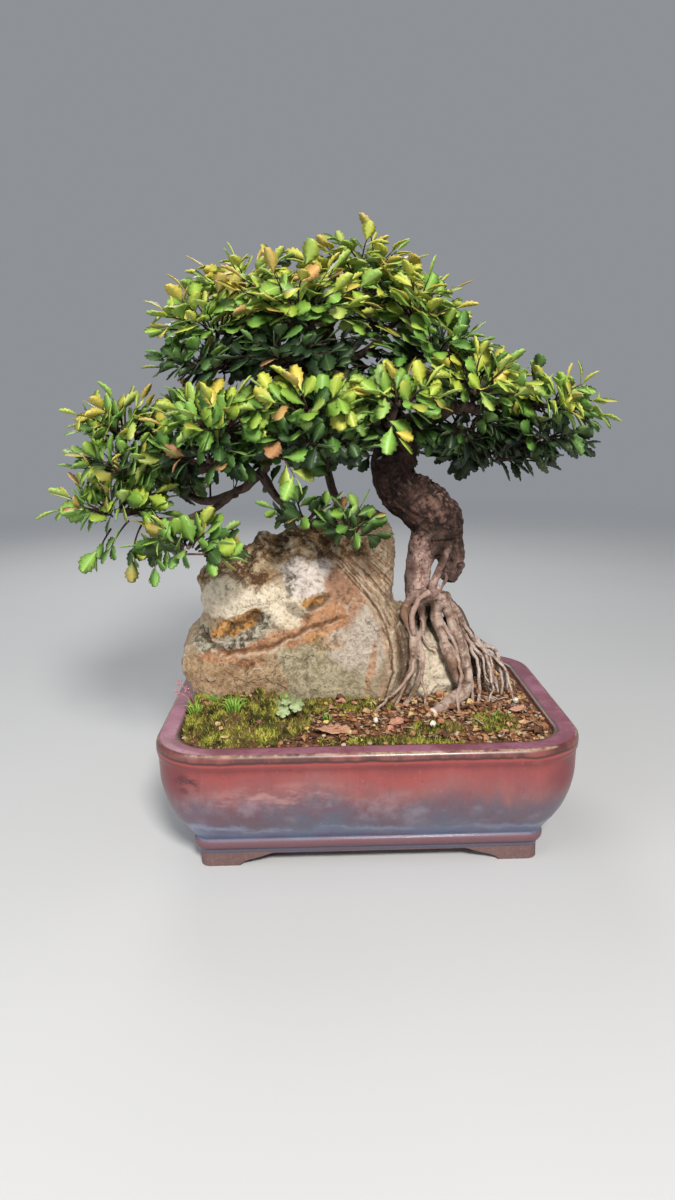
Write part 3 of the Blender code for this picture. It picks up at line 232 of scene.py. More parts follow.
# Thin roots, in millimetres: x, y, z along each, then its radius at the start and the end. The last
# four are thick ones behind the others, painted dark as shade
FINE_ROOTS = (
    (((75, -28, 121), (70.3, -42, 111.2), (66.2, -51, 103), (63, -55, 92)), 1.7, 0.8),
    (((74.5, -2, 157.7), (82.7, -3, 146.1), (92.3, -3, 136.1), (100.2, -3, 131.1), (106.6, -4, 119.8),
      (110.2, -8, 102.9), (111, -9, 90)), 1.9, 0.8),
    (((79, -10, 148), (85.3, -10, 140), (91.1, -13, 130.1), (93.7, -17, 119.9), (100.5, -22, 105)), 1.7, 0.7),
    (((87, -7, 140), (91.3, -9, 137.6), (96.9, -12, 130.5), (100.2, -16, 120.4), (103.3, -23, 104)),
     1.5, 0.7),
    (((104, 0, 127), (108.4, 2, 116), (117, 4, 109), (121, 4, 101), (123, 3, 92)), 1.5, 0.8),
    (((98, -2, 131), (106, -8, 124), (112, -13, 113), (115, -18, 101), (116, -20, 92)), 1.4, 0.7),
    (((92, -6, 136), (97, -16, 124), (97, -24, 112), (94, -31, 100), (93, -34, 91)), 1.4, 0.7),
    (((84, -12, 141), (87, -20, 128), (88, -28, 115), (86, -36, 102), (85, -40, 92)), 1.6, 0.8),
    (((38, -32, 135), (30, -40, 121), (16, -47, 109), (4, -52, 99), (-2, -55, 91)), 1.5, 0.7),
    (((42, -34, 124), (45, -42, 111), (43, -50, 102), (41, -54, 92)), 1.3, 0.7),
    (((59.7, -8, 184.2), (50, -12, 181), (43.9, -13, 177.6), (38.7, -17, 169.7), (37.3, -21, 161.4),
      (38, -24, 152)), 2.6, 1.9),
    (((44, -16, 163), (46, -20, 155), (50, -24, 147), (56, -25, 141)), 1.5, 0.9),
    (((64, -22, 144), (69, -26, 134), (71, -30, 124), (70, -36, 112), (66, -42, 100), (64, -45, 92)),
     1.8, 1.0),
    (((60, -15, 160), (66, -20, 148), (72, -21, 138), (77, -25, 128)), 1.9, 1.3),
    (((70, -9, 163), (76, -8, 152), (80, -14, 140), (80, -22, 126), (82, -30, 112), (82, -36, 99)), 2.0, 0.9),
    (((52, -55, 101), (46, -61, 98), (38, -66, 96), (28, -70, 94)), 1.5, 0.7),
    (((60, -47, 102), (58, -57, 97), (56, -66, 95)), 1.3, 0.7),
    (((70, -38, 107), (76, -47, 99), (80, -56, 95)), 1.6, 0.7),
    (((30, -36, 117), (22, -46, 104), (20, -54, 97), (12, -62, 94)), 1.4, 0.6),
    (((67, 3, 200), (66, 0, 192), (63, -3, 186), (61, -4, 181)), 2.0, 0.8),
    (((48, 5, 178), (51, 7, 164), (55, 10, 150), (60, 10, 134), (63, 10, 118)), 6.0, 4.5),
    (((64, 6, 174), (69, 8, 160), (74, 9, 144), (79, 9, 128), (82, 9, 110)), 5.5, 4.0),
    (((41, 4, 184), (39, 2, 172), (42, 0, 160), (45, 0, 146)), 4.8, 3.5),
    (((72, 9, 164), (82, 10, 150), (90, 10, 134), (95, 9, 116)), 4.0, 3.0),
)
ROOT_SHARES = (0.72, 0.74, 1.0, 1.0, 0.88, 0.88, 0.9, 0.82, 0.8, 1.0, 0.92, 1.0)
CUT_END = Vector((0.0465, -0.0573, 0.0997))
# Healed scars on the trunk: place and size
KNOTS = (
    ((0.0455, -0.006, 0.2495), 0.0085), ((0.058, -0.008, 0.24), 0.0075), ((0.03, -0.008, 0.262), 0.007),
    ((0.04, -0.007, 0.266), 0.006), ((0.07, -0.004, 0.231), 0.0065), ((0.015, -0.005, 0.283), 0.007),
    ((0.024, 0.028, 0.265), 0.009), ((0.06, 0.031, 0.235), 0.009),
)
WOOD_VOXEL = 0.00095
STONE_VOXEL = 0.0012
ROOT_CLEAR_OF_STONE = 0.0011
TWIG_RADIUS = 0.0026
TWIG_END_RADIUS = 0.0019
TWIG_SAG = 0.12
STEM_LENGTH = 0.006
HUB_SHARE = (0.24, 0.24, 0.34)

# Foliage: middle and half size of each spray, where its twig leaves the wood, and how much sun it gets,
# which is painted into its leaves' colour as light and shade
SPRAYS = {
    "crown_left": ((-0.1, -0.02, 0.377), (0.046, 0.042, 0.024), (-0.051, -0.008, 0.356), 0.85),
    "crown_front": ((-0.042, -0.05, 0.386), (0.046, 0.034, 0.028), (-0.022, 0.012, 0.364), 0.89),
    "crown_top": ((0.0, 0.012, 0.412), (0.045, 0.04, 0.026), (-0.024, 0.012, 0.376), 1.02),
    "crown_right": ((0.04, -0.018, 0.386), (0.03, 0.04, 0.025), (-0.02, 0.012, 0.352), 0.98),
    "crown_back_left": ((-0.075, 0.066, 0.392), (0.044, 0.036, 0.024), (-0.023, 0.012, 0.368), 0.78),
    "crown_back_right": ((0.026, 0.072, 0.394), (0.046, 0.036, 0.024), (-0.021, 0.012, 0.358), 0.8),
    "left_tip": ((-0.17, -0.015, 0.308), (0.034, 0.036, 0.022), (-0.11, -0.025, 0.28), 0.84),
    "left_front": ((-0.098, -0.07, 0.312), (0.038, 0.03, 0.02), (-0.073, -0.023, 0.291), 0.74),
    "left_back": ((-0.116, 0.052, 0.316), (0.044, 0.036, 0.02), (-0.044, -0.018, 0.2975), 0.62),
    "centre_front": ((-0.036, -0.08, 0.32), (0.038, 0.026, 0.017), (-0.015, -0.01, 0.302), 0.7),
    "centre_right_front": ((0.022, -0.076, 0.324), (0.032, 0.026, 0.016), (0.018, 0.008, 0.312), 0.72),
    "right_inner": ((0.076, -0.048, 0.334), (0.033, 0.03, 0.022), (0.07, -0.011, 0.3166), 0.94),
    "right_tip": ((0.138, -0.015, 0.322), (0.038, 0.036, 0.02), (0.098, -0.015, 0.3208), 0.92),
    "right_low": ((0.104, 0.036, 0.284), (0.05, 0.038, 0.018), (0.09, 0.023, 0.2924), 0.18),
    "right_back": ((0.094, 0.066, 0.334), (0.042, 0.034, 0.022), (0.068, 0.02, 0.297), 0.78),
    "low_left_tip": ((-0.178, -0.032, 0.254), (0.04, 0.032, 0.02), (-0.133, -0.022, 0.2405), 0.72),
    "low_left_front": ((-0.122, -0.06, 0.23), (0.034, 0.024, 0.015), (-0.114, -0.02, 0.2475), 0.54),
    "low_left_back": ((-0.158, 0.04, 0.264), (0.036, 0.034, 0.018), (-0.092, -0.0205, 0.26), 0.52),
    "over_stone": ((-0.042, -0.048, 0.247), (0.026, 0.018, 0.014), (-0.074, -0.021, 0.276), 0.42),
    "stone_spray": ((-0.01, -0.052, 0.238), (0.022, 0.016, 0.018), (-0.03, -0.014, 0.3), 0.46),
    "back_low": ((0.014, 0.062, 0.29), (0.036, 0.028, 0.016), (0.027, 0.011, 0.286), 0.14),
    "crown_shoulder": ((-0.08, 0.008, 0.406), (0.042, 0.036, 0.022), (-0.0225, 0.012, 0.366), 0.96),
    "crown_low_left": ((-0.104, -0.028, 0.35), (0.036, 0.034, 0.015), (-0.048, -0.006, 0.354), 0.26),
    "crown_low_front": ((-0.05, -0.06, 0.354), (0.036, 0.026, 0.014), (-0.034, 0.0, 0.345), 0.08),
    "crown_low_right": ((0.05, -0.034, 0.358), (0.034, 0.032, 0.017), (-0.01, 0.009, 0.334), 0.52),
    "right_low_front": ((0.132, -0.01, 0.298), (0.034, 0.03, 0.014), (0.092, 0.023, 0.292), 0.24),
    "left_under": ((-0.108, -0.048, 0.288), (0.038, 0.03, 0.014), (-0.094, -0.025, 0.286), 0.34),
    "left_low": ((-0.168, -0.026, 0.282), (0.034, 0.034, 0.016), (-0.112, -0.025, 0.279), 0.5),
    "centre_low": ((-0.04, -0.072, 0.299), (0.042, 0.026, 0.013), (-0.044, -0.018, 0.2975), 0.34),
}
SPARSE = {"over_stone": 0.6, "stone_spray": 0.7, "low_left_front": 0.85}
LEAF_SHARE = {"over_stone": 0.8, "stone_spray": 0.82}
CANOPY_HEART = Vector((-0.02, 0.015, 0.315))
LEAF_LENGTH = 0.0186
LEAF_WIDTH = 0.0128
LEAF_THICKNESS = 0.0005
LEAF_TEETH = 5
LEAF_STEP = 0.0047
LEAF_KINDS = 10
INNER_SHOOT_STEP = 0.009
# Sprays droop past this far to the right
DROOP_FROM = 0.112
DROOP = 2.6
# Loose shoots below and above the canopy, from start to tip, and two leaves that hang by themselves
HANGING_SHOOTS = (
    ((-0.18, -0.036, 0.238), (-0.193, -0.036, 0.217)), ((-0.156, -0.044, 0.242), (-0.163, -0.052, 0.216)),
    ((-0.15, -0.044, 0.24), (-0.146, -0.058, 0.212)), ((-0.166, -0.04, 0.244), (-0.178, -0.05, 0.226)),
    ((-0.06, -0.078, 0.296), (-0.046, -0.092, 0.276)), ((0.01, -0.09, 0.318), (0.02, -0.1, 0.3)),
    ((-0.124, -0.07, 0.224), (-0.092, -0.078, 0.222)), ((0.0, 0.006, 0.422), (-0.016, 0.0, 0.436)),
    ((0.01, 0.004, 0.424), (0.008, 0.0, 0.44)), ((-0.15, -0.05, 0.246), (-0.136, -0.062, 0.226)),
)
HANGING_LEAVES = (
    ((-0.1915, -0.038, 0.222), (-0.6, -0.15, -0.75), 1.0),
    ((-0.048, -0.093, 0.276), (-0.35, -0.3, -0.85), 0.85),
)
# Leafy knots inside the canopy, their leaves painted dark as shade: middle, half size and shoots
UNDERSTORY = (
    ((0.078, -0.018, 0.302), (0.036, 0.022, 0.015), 15), ((0.03, -0.026, 0.303), (0.026, 0.014, 0.013), 9),
    ((0.112, 0.006, 0.306), (0.03, 0.024, 0.012), 10), ((-0.04, 0.01, 0.352), (0.055, 0.03, 0.013), 16),
    ((0.01, -0.01, 0.35), (0.032, 0.03, 0.013), 10),
)


class Wire:
    """The output of a shader node. Arithmetic on it adds Math nodes."""

    def __init__(self, finish, socket):
        self.finish = finish
        self.socket = socket

    def math(self, operation, *values):
        return self.finish.node("ShaderNodeMath", {"operation": operation}, dict(enumerate(values)))

    def __add__(self, other):
        return self.math("ADD", self, other)

    def __sub__(self, other):
        return self.math("SUBTRACT", self, other)

    def __mul__(self, other):
        return self.math("MULTIPLY", self, other)

    def __pow__(self, other):
        return self.math("POWER", self, other)

    def __rsub__(self, other):
        return self.math("SUBTRACT", other, self)

    def over(self, other):
        return self.math("MAXIMUM", self, other)

    def sine(self):
        return self.math("SINE", self)

    __radd__ = __add__


class Finish:
    """A material in the making, with the nodes that this object's finishes are made of."""

    def __init__(self, name, roughness=0.7, specular=0.5, coat=0.0, coat_roughness=0.1):
        self.material = bpy.data.materials.new(name)
        self.material.use_nodes = True
        self.tree = self.material.node_tree
        self.shader = self.tree.nodes["Principled BSDF"]
        values = {"Roughness": roughness, "Specular IOR Level": specular, "Coat Weight": coat}
        for key, value in {**values, "Coat Roughness": coat_roughness}.items():
            self.shader.inputs[key].default_value = value
        self.place = self.vector("SUBTRACT", self.node("ShaderNodeTexCoord", output="Object"), tuple(SHIFT))

    def node(self, kind, settings=None, values=None, output=0):
        made = self.tree.nodes.new(kind)
        for name, value in (settings or {}).items():
            if name == "stops":
                ramp = made.color_ramp
                while len(ramp.elements) < len(value):
                    ramp.elements.new(0.5)
                for element, (place, colour) in zip(ramp.elements, value):
                    element.position = place
                    element.color = (*colour, 1.0)
            else:
                setattr(made, name, value)
        for key, value in (values or {}).items():
            self.feed(made.inputs[key], value)
        return Wire(self, made.outputs[output])

    def feed(self, socket, value):
        if isinstance(value, Wire):
            self.tree.links.new(value.socket, socket)
        elif socket.type == "RGBA" and len(value) == 3:
            socket.default_value = (*value, 1.0)
        else:
            socket.default_value = value

    def vector(self, operation, first, second, output=0):
        values = {0: first, "Scale" if operation == "SCALE" else 1: second}
        return self.node("ShaderNodeVectorMath", {"operation": operation}, values, output)

    def axes(self, vector):
        made = self.tree.nodes.new("ShaderNodeSeparateXYZ")
        self.feed(made.inputs[0], vector)
        return [Wire(self, socket) for socket in made.outputs]

    def attribute(self, name):
        return self.node("ShaderNodeAttribute", {"attribute_name": name}, output="Vector")

    def joined(self, x, y, z):
        return self.node("ShaderNodeCombineXYZ", None, {0: x, 1: y, 2: z})

    def noise(self, scale, detail=4.0, rough=0.55, at=None, output="Fac"):
        values = {"Vector": at or self.place, "Scale": scale, "Detail": detail, "Roughness": rough}
        return self.node("ShaderNodeTexNoise", None, values, output)

    def cells(self, scale, feature="F1", at=None):
        values = {"Vector": at or self.place, "Scale": scale}
        return self.node("ShaderNodeTexVoronoi", {"feature": feature}, values, "Distance")

    def between(self, value, low, high, kind="SMOOTHSTEP"):
        """0 where the value is at low and 1 where it is at high, where low may be over high."""
        values = {"Value": value, "From Min": low, "From Max": high}
        return self.node("ShaderNodeMapRange", {"interpolation_type": kind}, values)

    def mix(self, share, first, second):
        return self.node("ShaderNodeMix", {"data_type": "RGBA"}, {0: share, 6: first, 7: second}, 2)

    def paint(self, share, over):
        """Lays another colour over the one so far, as far as the share of 0 to 1 says."""
        self.colour = self.mix(share, self.colour, over)

    def ramp(self, value, *stops):
        return self.node("ShaderNodeValToRGB", {"stops": stops}, {0: value}, "Color")

    def stretched(self, scale):
        return self.node("ShaderNodeMapping", None, {"Vector": self.place, "Scale": scale})

    def patch(self, middle, half, turn=0.0, at=None, soft=0.35):
        """1 inside a slanting oval on the front, seen along Y, fading to 0 at its edge."""
        inside = self.node("ShaderNodeMapping", {"vector_type": "TEXTURE"}, {
            "Vector": at or self.place,
            "Location": (middle[0], 0.0, middle[1]),
            "Rotation": (0.0, -turn, 0.0),
            "Scale": (half[0], 1.0, half[1]),
        })
        x, _, z = self.axes(inside)
        return self.between((x * x + z * z) ** 0.5, 1.0 + soft, 1.0 - soft)

    def bump(self, height, strength, distance):
        values = {"Height": height, "Strength": strength, "Distance": distance}
        return self.node("ShaderNodeBump", None, values)

    def done(self, roughness=None, normal=None, **others):
        """The material, once its colour and what is given here are led to the shader."""
        inputs = {"Base Color": self.colour, "Roughness": roughness, "Normal": normal, **others}
        for name, value in inputs.items():
            if value is not None:
                self.feed(self.shader.inputs[name], value)
        return self.material


def mesh_of(shape):
    mesh = bpy.data.meshes.new("shape")
    shape.to_mesh(mesh)
    shape.free()
    return mesh


def shape_of(mesh):
    shape = bmesh.new()
    shape.from_mesh(mesh)
    return shape


def placed(name, data):
    """A new object in the scene."""
    made = bpy.data.objects.new(name, data)
    bpy.context.scene.collection.objects.link(made)
    return made


def weld(shape, far):
    bmesh.ops.remove_doubles(shape, verts=shape.verts, dist=far)


def face_out(shape):
    bmesh.ops.recalc_face_normals(shape, faces=shape.faces)


def thicken(shape, thickness):
    bmesh.ops.solidify(shape, geom=shape.faces[:] + shape.edges[:] + shape.verts[:], thickness=thickness)


def close_holes(shape):
    bmesh.ops.holes_fill(shape, edges=[e for e in shape.edges if e.is_boundary], sides=0)


def add_piece(name, shape, materials, replaces=(), smooth=True, sharp=180.0):
    """Puts a finished shape in the scene, in the frame's own place, under the root body, and hides the CAD
    parts it stands for.
    """
    bmesh.ops.translate(shape, verts=shape.verts, vec=SHIFT)
    mesh = mesh_of(shape)
    for material in materials:
        mesh.materials.append(material)
    if smooth:
        mesh.shade_smooth()
        if sharp < 180.0:
            mesh.set_sharp_from_angle(angle=math.radians(sharp))
    piece = placed(name, mesh)
    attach(piece, "root")
    if replaces:
        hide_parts(*replaces)
    return piece


def copied(node):
    """A merged copy of a CAD node's mesh, in the layout's own place."""
    shape = shape_of(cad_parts[node].data)
    weld(shape, 1e-6)
    bmesh.ops.translate(shape, verts=shape.verts, vec=-SHIFT)
    return shape


def remeshed(mesh, voxel):
    """One even skin over everything in a mesh."""
    block = placed("block", mesh)
    modifier = block.modifiers.new("skin", "REMESH")
    modifier.mode = "VOXEL"
    modifier.voxel_size = voxel
    graph = bpy.context.evaluated_depsgraph_get()
    result = bpy.data.meshes.new_from_object(block.evaluated_get(graph))
    bpy.data.objects.remove(block)
    return shape_of(result)


def relax(shape, times):
    """Moves each point halfway to the middle of its neighbours, so many times."""
    ways = {"use_axis_x": True, "use_axis_y": True, "use_axis_z": True}
    for _ in range(times):
        bmesh.ops.smooth_vert(shape, verts=shape.verts, factor=0.5, **ways)


def clamped(value):
    return max(0.0, min(1.0, value))


def ease(t):
    """0 to 1 with a soft start and end."""
    t = clamped(t)
    return t * t * (3 - 2 * t)


def fade(value, start, end):
    return ease((value - start) / (end - start))


def any_vector(draw, far):
    return Vector([draw.uniform(-far, far) for _ in range(3)])


def rocked(draw, far, axis):
    """A turn about an axis, either way and no further than far."""
    return Matrix.Rotation(draw.uniform(-far, far), 4, axis)


def spin(draw):
    """A turn about the upright."""
    return Matrix.Rotation(draw.uniform(0, FULL_TURN), 4, "Z")


def oval(x, z, middle, half, slope=0.0):
    """0 in the middle of an oval and 1 at its edge."""
    across = x - middle[0]
    return math.hypot(across / half[0], (z - middle[1] - slope * across) / half[1])


def rippled(x, y, scale, layer):
    """Soft noise over the ground, in one of many layers."""
    return noise.noise(Vector((x * scale, y * scale, layer)))


def scaled(out, half, reach=1.0):
    """A direction from the middle of an oval body, as far as that body goes that way."""
    return Vector([o * h * reach for o, h in zip(out, half)])


def run_of(line):
    """How long a line of points is."""
    return sum((b.xyz - a.xyz).length for a, b in zip(line, line[1:]))


def off_skin(skin, spot):
    """How far a point is off a surface, and the surface's normal there."""
    near, normal, _, _ = skin.find_nearest(spot)
    return (spot - near).dot(normal), normal


def sleeve(shape, rows, columns, place, closed=True):
    """A skin of rows by columns, each corner where place(row, column) puts it."""
    made = bmesh.ops.create_grid(shape, x_segments=columns, y_segments=rows, size=1.0)["verts"]
    for index, vert in enumerate(made):
        row, column = divmod(index, columns + 1)
        vert.co = place(row, column % columns if closed else column)
    if closed:
        bmesh.ops.remove_doubles(shape, verts=made, dist=1e-7)


def through(points, step):
    """A smooth line through (x, y, z, radius) points, with a point about every step."""
    points = [Vector(p) for p in points]
    ends = [points[0] * 2 - points[1], *points, points[-1] * 2 - points[-2]]
    line = []
    for a, b, c, d in zip(ends, ends[1:], ends[2:], ends[3:]):
        count = max(1, round((c - b).xyz.length / step))
        for k in range(count):
            t = k / count
            line.append(0.5 * (2 * b + (c - a) * t + (2 * a - 5 * b + 4 * c - d) * t * t
                               + (3 * b - a - 3 * c + d) * t**3))
    return [*line, points[-1]]


def limbs(lines, sides):
    """Round limbs along lines of (x, y, z, radius) points, with closed ends."""
    curve = bpy.data.curves.new("limbs", "CURVE")
    curve.dimensions = "3D"
    curve.bevel_depth = 1.0
    curve.bevel_resolution = max(0, sides // 2 - 2)
    curve.use_fill_caps = True
    for line in lines:
        spline = curve.splines.new("POLY")
        spline.points.add(len(line) - 1)
        for knot, point in zip(spline.points, line):
            knot.co = (*point.xyz, 1.0)
            knot.radius = point.w
    holder = bpy.data.objects.new("holder", curve)
    shape = shape_of(bpy.data.meshes.new_from_object(holder))
    bpy.data.objects.remove(holder)
    weld(shape, 1e-7)
    face_out(shape)
    return shape


def pot_ring(inset, radius, corner_steps=CORNER_STEPS, side_steps=SIDE_STEPS):
    """Points (x, y) round the pot at an inset from its rim, anticlockwise from the middle right."""
    ring = []
    for quarter, (sx, sy) in enumerate(((1, 1), (-1, 1), (-1, -1), (1, -1))):
        cx = sx * (POT_WIDTH / 2 - inset - radius)
        cy = sy * (POT_DEPTH / 2 - inset - radius)
        for step in range(corner_steps + 1):
            turn = math.radians(90 * (quarter + step / corner_steps))
            ring.append(Vector((cx + radius * math.cos(turn), cy + radius * math.sin(turn))))
        count = side_steps[quarter % 2]
        last = ring[-1]
        across = 2 * cx if quarter % 2 == 0 else 2 * cy
        way = Vector((-across, 0.0)) if quarter % 2 == 0 else Vector((0.0, -across))
        ring += [last + way * (k / count) for k in range(1, count)]
    return ring


def corner_radius(inset, sharpens):
    """The pot's corners get sharper the further in they are."""
    return max(SMALLEST_CORNER, POT_CORNER - sharpens * inset)


def softened(profile):
    """A line of points with its corners cut twice, as glaze and fired clay have them."""
    for _ in range(2):
        cut = [profile[0]]
        for a, b in zip(profile, profile[1:]):
            cut += [a.lerp(b, 0.25), a.lerp(b, 0.75)]
        profile = [*cut, profile[-1]]
    return profile


def soil_height(x, y):
    """The soil rises from the pot's edge to the stone."""
    across = min(1.0, abs(x) / (POT_WIDTH / 2 - SOIL_FADE_INSET))
    deep = min(1.0, abs(y) / (POT_DEPTH / 2 - SOIL_FADE_INSET))
    from_edge = (1 - across**4) * (1 - deep**3)
    return SOIL_EDGE + (SOIL_RISE + rippled(x, y, 55, 3.0) * SOIL_ROUGHNESS) * from_edge


def build_pot_body(glaze):
    """The glazed body, with its two drain holes through both faces of the floor."""
    profile = [Vector((i, z, corner_radius(i, OUTSIDE_SHARPENS))) for i, z in POT_OUTSIDE]
    profile += [Vector((i, z, corner_radius(i, INSIDE_SHARPENS))) for i, z in POT_INSIDE]
    profile = softened(profile)
    rings = [[Vector((*p, level.y)) for p in pot_ring(level.x, level.z)] for level in profile]
    shape = bmesh.new()
    sleeve(shape, len(rings) - 1, len(rings[0]), lambda row, column: rings[row][column])
    floors = (profile[0].y, profile[-1].y)
    for z in floors:
        for x in (-DRAIN_OFFSET, DRAIN_OFFSET):
            turned = Matrix.Translation((x, 0.0, z))
            bmesh.ops.create_circle(shape, segments=DRAIN_SIDES, radius=DRAIN_RADIUS, matrix=turned)
    for z in floors:
        level = [e for e in shape.edges if not e.link_faces or e.is_boundary]
        level = [e for e in level if all(abs(v.co.z - z) < 1e-5 for v in e.verts)]
        bmesh.ops.triangle_fill(shape, edges=level, use_beauty=True)
    for x in (-DRAIN_OFFSET, DRAIN_OFFSET):
        hole = [e for e in shape.edges if e.is_boundary and abs(e.verts[0].co.x - x) < DRAIN_RADIUS * 1.1]
        bmesh.ops.bridge_loops(shape, edges=hole)
    face_out(shape)
    add_piece("pot_body", shape, [glaze], ["pot"], sharp=50)


def build_pot_feet(clay):
    """A band under the pot, cut away between its four corners."""
    inner = FOOT_INSET + FOOT_THICKNESS
    radius = corner_radius(FOOT_INSET, OUTSIDE_SHARPENS)
    insets = ((FOOT_INSET, radius), (FOOT_INSET + FOOT_SOFTNESS, radius), (inner, SMALLEST_CORNER))
    outer_ring, soft_ring, inner_ring = [
        pot_ring(inset, corner, FOOT_CORNER_STEPS, FOOT_SIDE_STEPS) for inset, corner in insets
    ]

    def lowest(place):
        """How far up the foot's lower edge is, where the wall between two feet is cut away."""
        out = 0.0
        for along, half, across, other in ((place.x, POT_WIDTH / 2, place.y, POT_DEPTH / 2),
                                           (place.y, POT_DEPTH / 2, place.x, POT_WIDTH / 2)):
            if abs(across) > other - inner - 0.002:
                out = max(out, half - FOOT_INSET - FOOT_LENGTH - abs(along))
        for (near, low), (far, high) in zip(FOOT_SHAPE, FOOT_SHAPE[1:]):
            if out < far:
                return low + (high - low) * max(0.0, (out - near) / (far - near))
        return FOOT_SHAPE[-1][1]

    def foot_point(row, column):
        ring = (outer_ring, outer_ring, soft_ring, inner_ring, inner_ring, outer_ring)[row]
        low = lowest(ring[column])
        z = (FOOT_TOP, min(low + FOOT_SOFTNESS, FOOT_TOP), low, low, FOOT_TOP, FOOT_TOP)[row]
        return Vector((*ring[column], z))

    shape = bmesh.new()
    sleeve(shape, 5, len(outer_ring), foot_point)
    weld(shape, 1e-6)
    face_out(shape)
    add_piece("pot_feet", shape, [clay], ["pot"], sharp=40)


def broken(place, scale, tilt, step):
    """The height of a broken surface: tilted flats that meet in edges, about 1 / scale across."""
    reach, points = noise.voronoi(place * scale)
    flats = []
    for middle in points[:2]:
        lean = noise.cell_vector(middle * 7.3) - Vector((0.5, 0.5, 0.5))
        flats.append(tilt * lean.dot(place - middle / scale) + step * lean.x)
    own = 0.5 + 0.5 * fade(reach[1] - reach[0], 0.0, 0.16)
    return flats[0] * own + flats[1] * (1 - own)


def height_at(line, x):
    """How high a line of (x, z) points is at x."""
    for (x0, z0), (x1, z1) in zip(line, line[1:]):
        if x < x1:
            return z0 + (z1 - z0) * max(0.0, (x - x0) / (x1 - x0))
    return line[-1][1]


def stone_relief(place, normal):
    """How far the stone's skin stands out of its plain form at a point."""
    x, y, z = place
    warped = place + noise.noise_vector(place * 45) * 0.007 + noise.noise_vector(place * 130) * 0.002
    front = fade(-normal.y, 0.1, 0.6) * fade(-y, -0.012, 0.0)
    sandy = oval(x, z, (-0.034, 0.122), (0.046, 0.026))
    creamy = oval(x, z, (-0.086, 0.18), (0.034, 0.015))
    calm = 1 - front * max(0.72 * fade(-sandy, -1.15, -0.75), 0.45 * fade(-creamy, -1.2, -0.7))
    relief = calm * (broken(warped, 30, 0.24, 0.0018) + broken(warped, 85, 0.22, 0.0006))
    relief += (0.4 + 0.6 * calm) * 0.0008 * noise.fractal(place * 190, 0.6, 2.2, 4)
    relief += calm * 0.0007 * (noise.ridged_multi_fractal(place * 40, 0.9, 2.1, 4, 0.9, 2.0) - 1.0)
    edge = z + 0.35 * max(0.0, -0.066 - x) + 0.014 * noise.noise(place * 50)
    crust = fade(edge, 0.2065, 0.2125) * fade(-x, 0.0, 0.02)
    if crust > 0.01:
        reach, _ = noise.voronoi(place * 105)
        lumps = 0.0048 * noise.noise(place * 58) + 0.0026 * noise.noise(place * 140)
        lumps += 0.0012 * noise.noise(place * 330)
        relief += crust * (lumps - 0.0008 - 0.003 * fade(-reach[0], -0.34, -0.12))
    if front > 0.01:
        level = z - height_at(LEDGE, x) + 0.0024 * noise.noise(place * 80) + 0.001 * noise.noise(place * 260)
        left = fade(-x, 0.006, 0.026)
        relief += front * left * 0.0036 * (fade(-level, -0.0008, 0.0012) - 0.5)
        relief -= front * left * 0.002 * math.exp(-(((level - 0.0016) / 0.0014) ** 2))
        ragged = 0.34 * noise.noise(place * 95) + 0.22 * noise.noise(place * 240)
        cavity = math.hypot((x + 0.0975) / 0.0215, (z - 0.159 - 0.385 * (x + 0.0965)) / 0.0058) + ragged
        relief -= front * 0.0056 * fade(-cavity, -1.15, -0.55)
        crumbly = oval(x, z, (-0.089, 0.1545), (0.026, 0.007), 0.45)
        relief += front * fade(-crumbly, -1.2, -0.6) * 0.0036 * noise.noise(place * 230)
        pocket = oval(x, z, (-0.0336, 0.1773), (0.0095, 0.0046), 0.45) + ragged
        relief -= front * 0.0036 * fade(-pocket, -1.1, -0.5)
        streak = (x + 0.0545 - 0.08 * (z - 0.195) + 0.002 * noise.noise(place * 90)) / 0.003
        relief -= front * 0.0026 * math.exp(-streak * streak) * fade(z, 0.18, 0.188) * fade(-z, -0.208, -0.2)
        bend = x - STRATA_REACH + STRATA_BOW * (z - STRATA_MIDDLE) ** 2 + 0.003 * noise.noise(place * 45)
        strip = fade(bend, -0.007, -0.001) * fade(-x, -0.038, -0.03) * fade(z, 0.098, 0.112)
        strip *= 1 - 0.65 * fade(z, 0.196, 0.214)
        layer = noise.noise(Vector((bend * 210, y * 15, z * 18)))
        layer += 0.6 * noise.noise(Vector((bend * 560, y * 20, z * 40)))
        relief += front * strip * 0.0014 * layer
        for fissure, deep in FISSURES:
            relief -= front * strip * deep * math.exp(-(((bend - fissure) / 0.001) ** 2))
        veined = oval(x, z, (-0.004, 0.15), (0.026, 0.02))
        turned = Vector((x * 60 + z * 40, y * 20, z * 90 - x * 30))
        ripple = noise.ridged_multi_fractal(turned, 0.8, 2.1, 3, 0.8, 2.0)
        relief += front * fade(-veined, -1.2, -0.6) * 0.0011 * (ripple - 1.0)
    return relief


def build_stone(rock):
    """The stone's plain form, weathered flat in places and then broken up by its relief."""
    shape = remeshed(mesh_of(copied("stone")), STONE_VOXEL)
    buried = [v for v in shape.verts if v.co.z < STONE_BOTTOM]
    bmesh.ops.delete(shape, geom=buried, context="VERTS")
    close_holes(shape)
    shape.verts.layers.float_vector.new("worn")
    relax(shape, 12)
    cuts = [(Vector(p), Vector(n).normalized(), reach) for p, n, reach in STONE_CUTS]
    for vert in shape.verts:
        for point, normal, reach in cuts:
            over = (vert.co - point).dot(normal)
            near = (vert.co - point).length
            if 0 < over and near < reach * 2:
                vert.co -= normal * over * 0.9 * fade(-near, -reach * 2, -reach)
    shape.normal_update()
    moves = [vert.normal * stone_relief(vert.co, vert.normal) for vert in shape.verts]
    for vert, move in zip(shape.verts, moves):
        vert.co += move
    # How far each point stands out, kept for painting shade into the stone's hollows
    mark_hollows(shape, shape.verts.layers.float_vector["worn"], 14, 0.0016)
    add_piece("weathered_stone", shape, [rock], ["stone"])


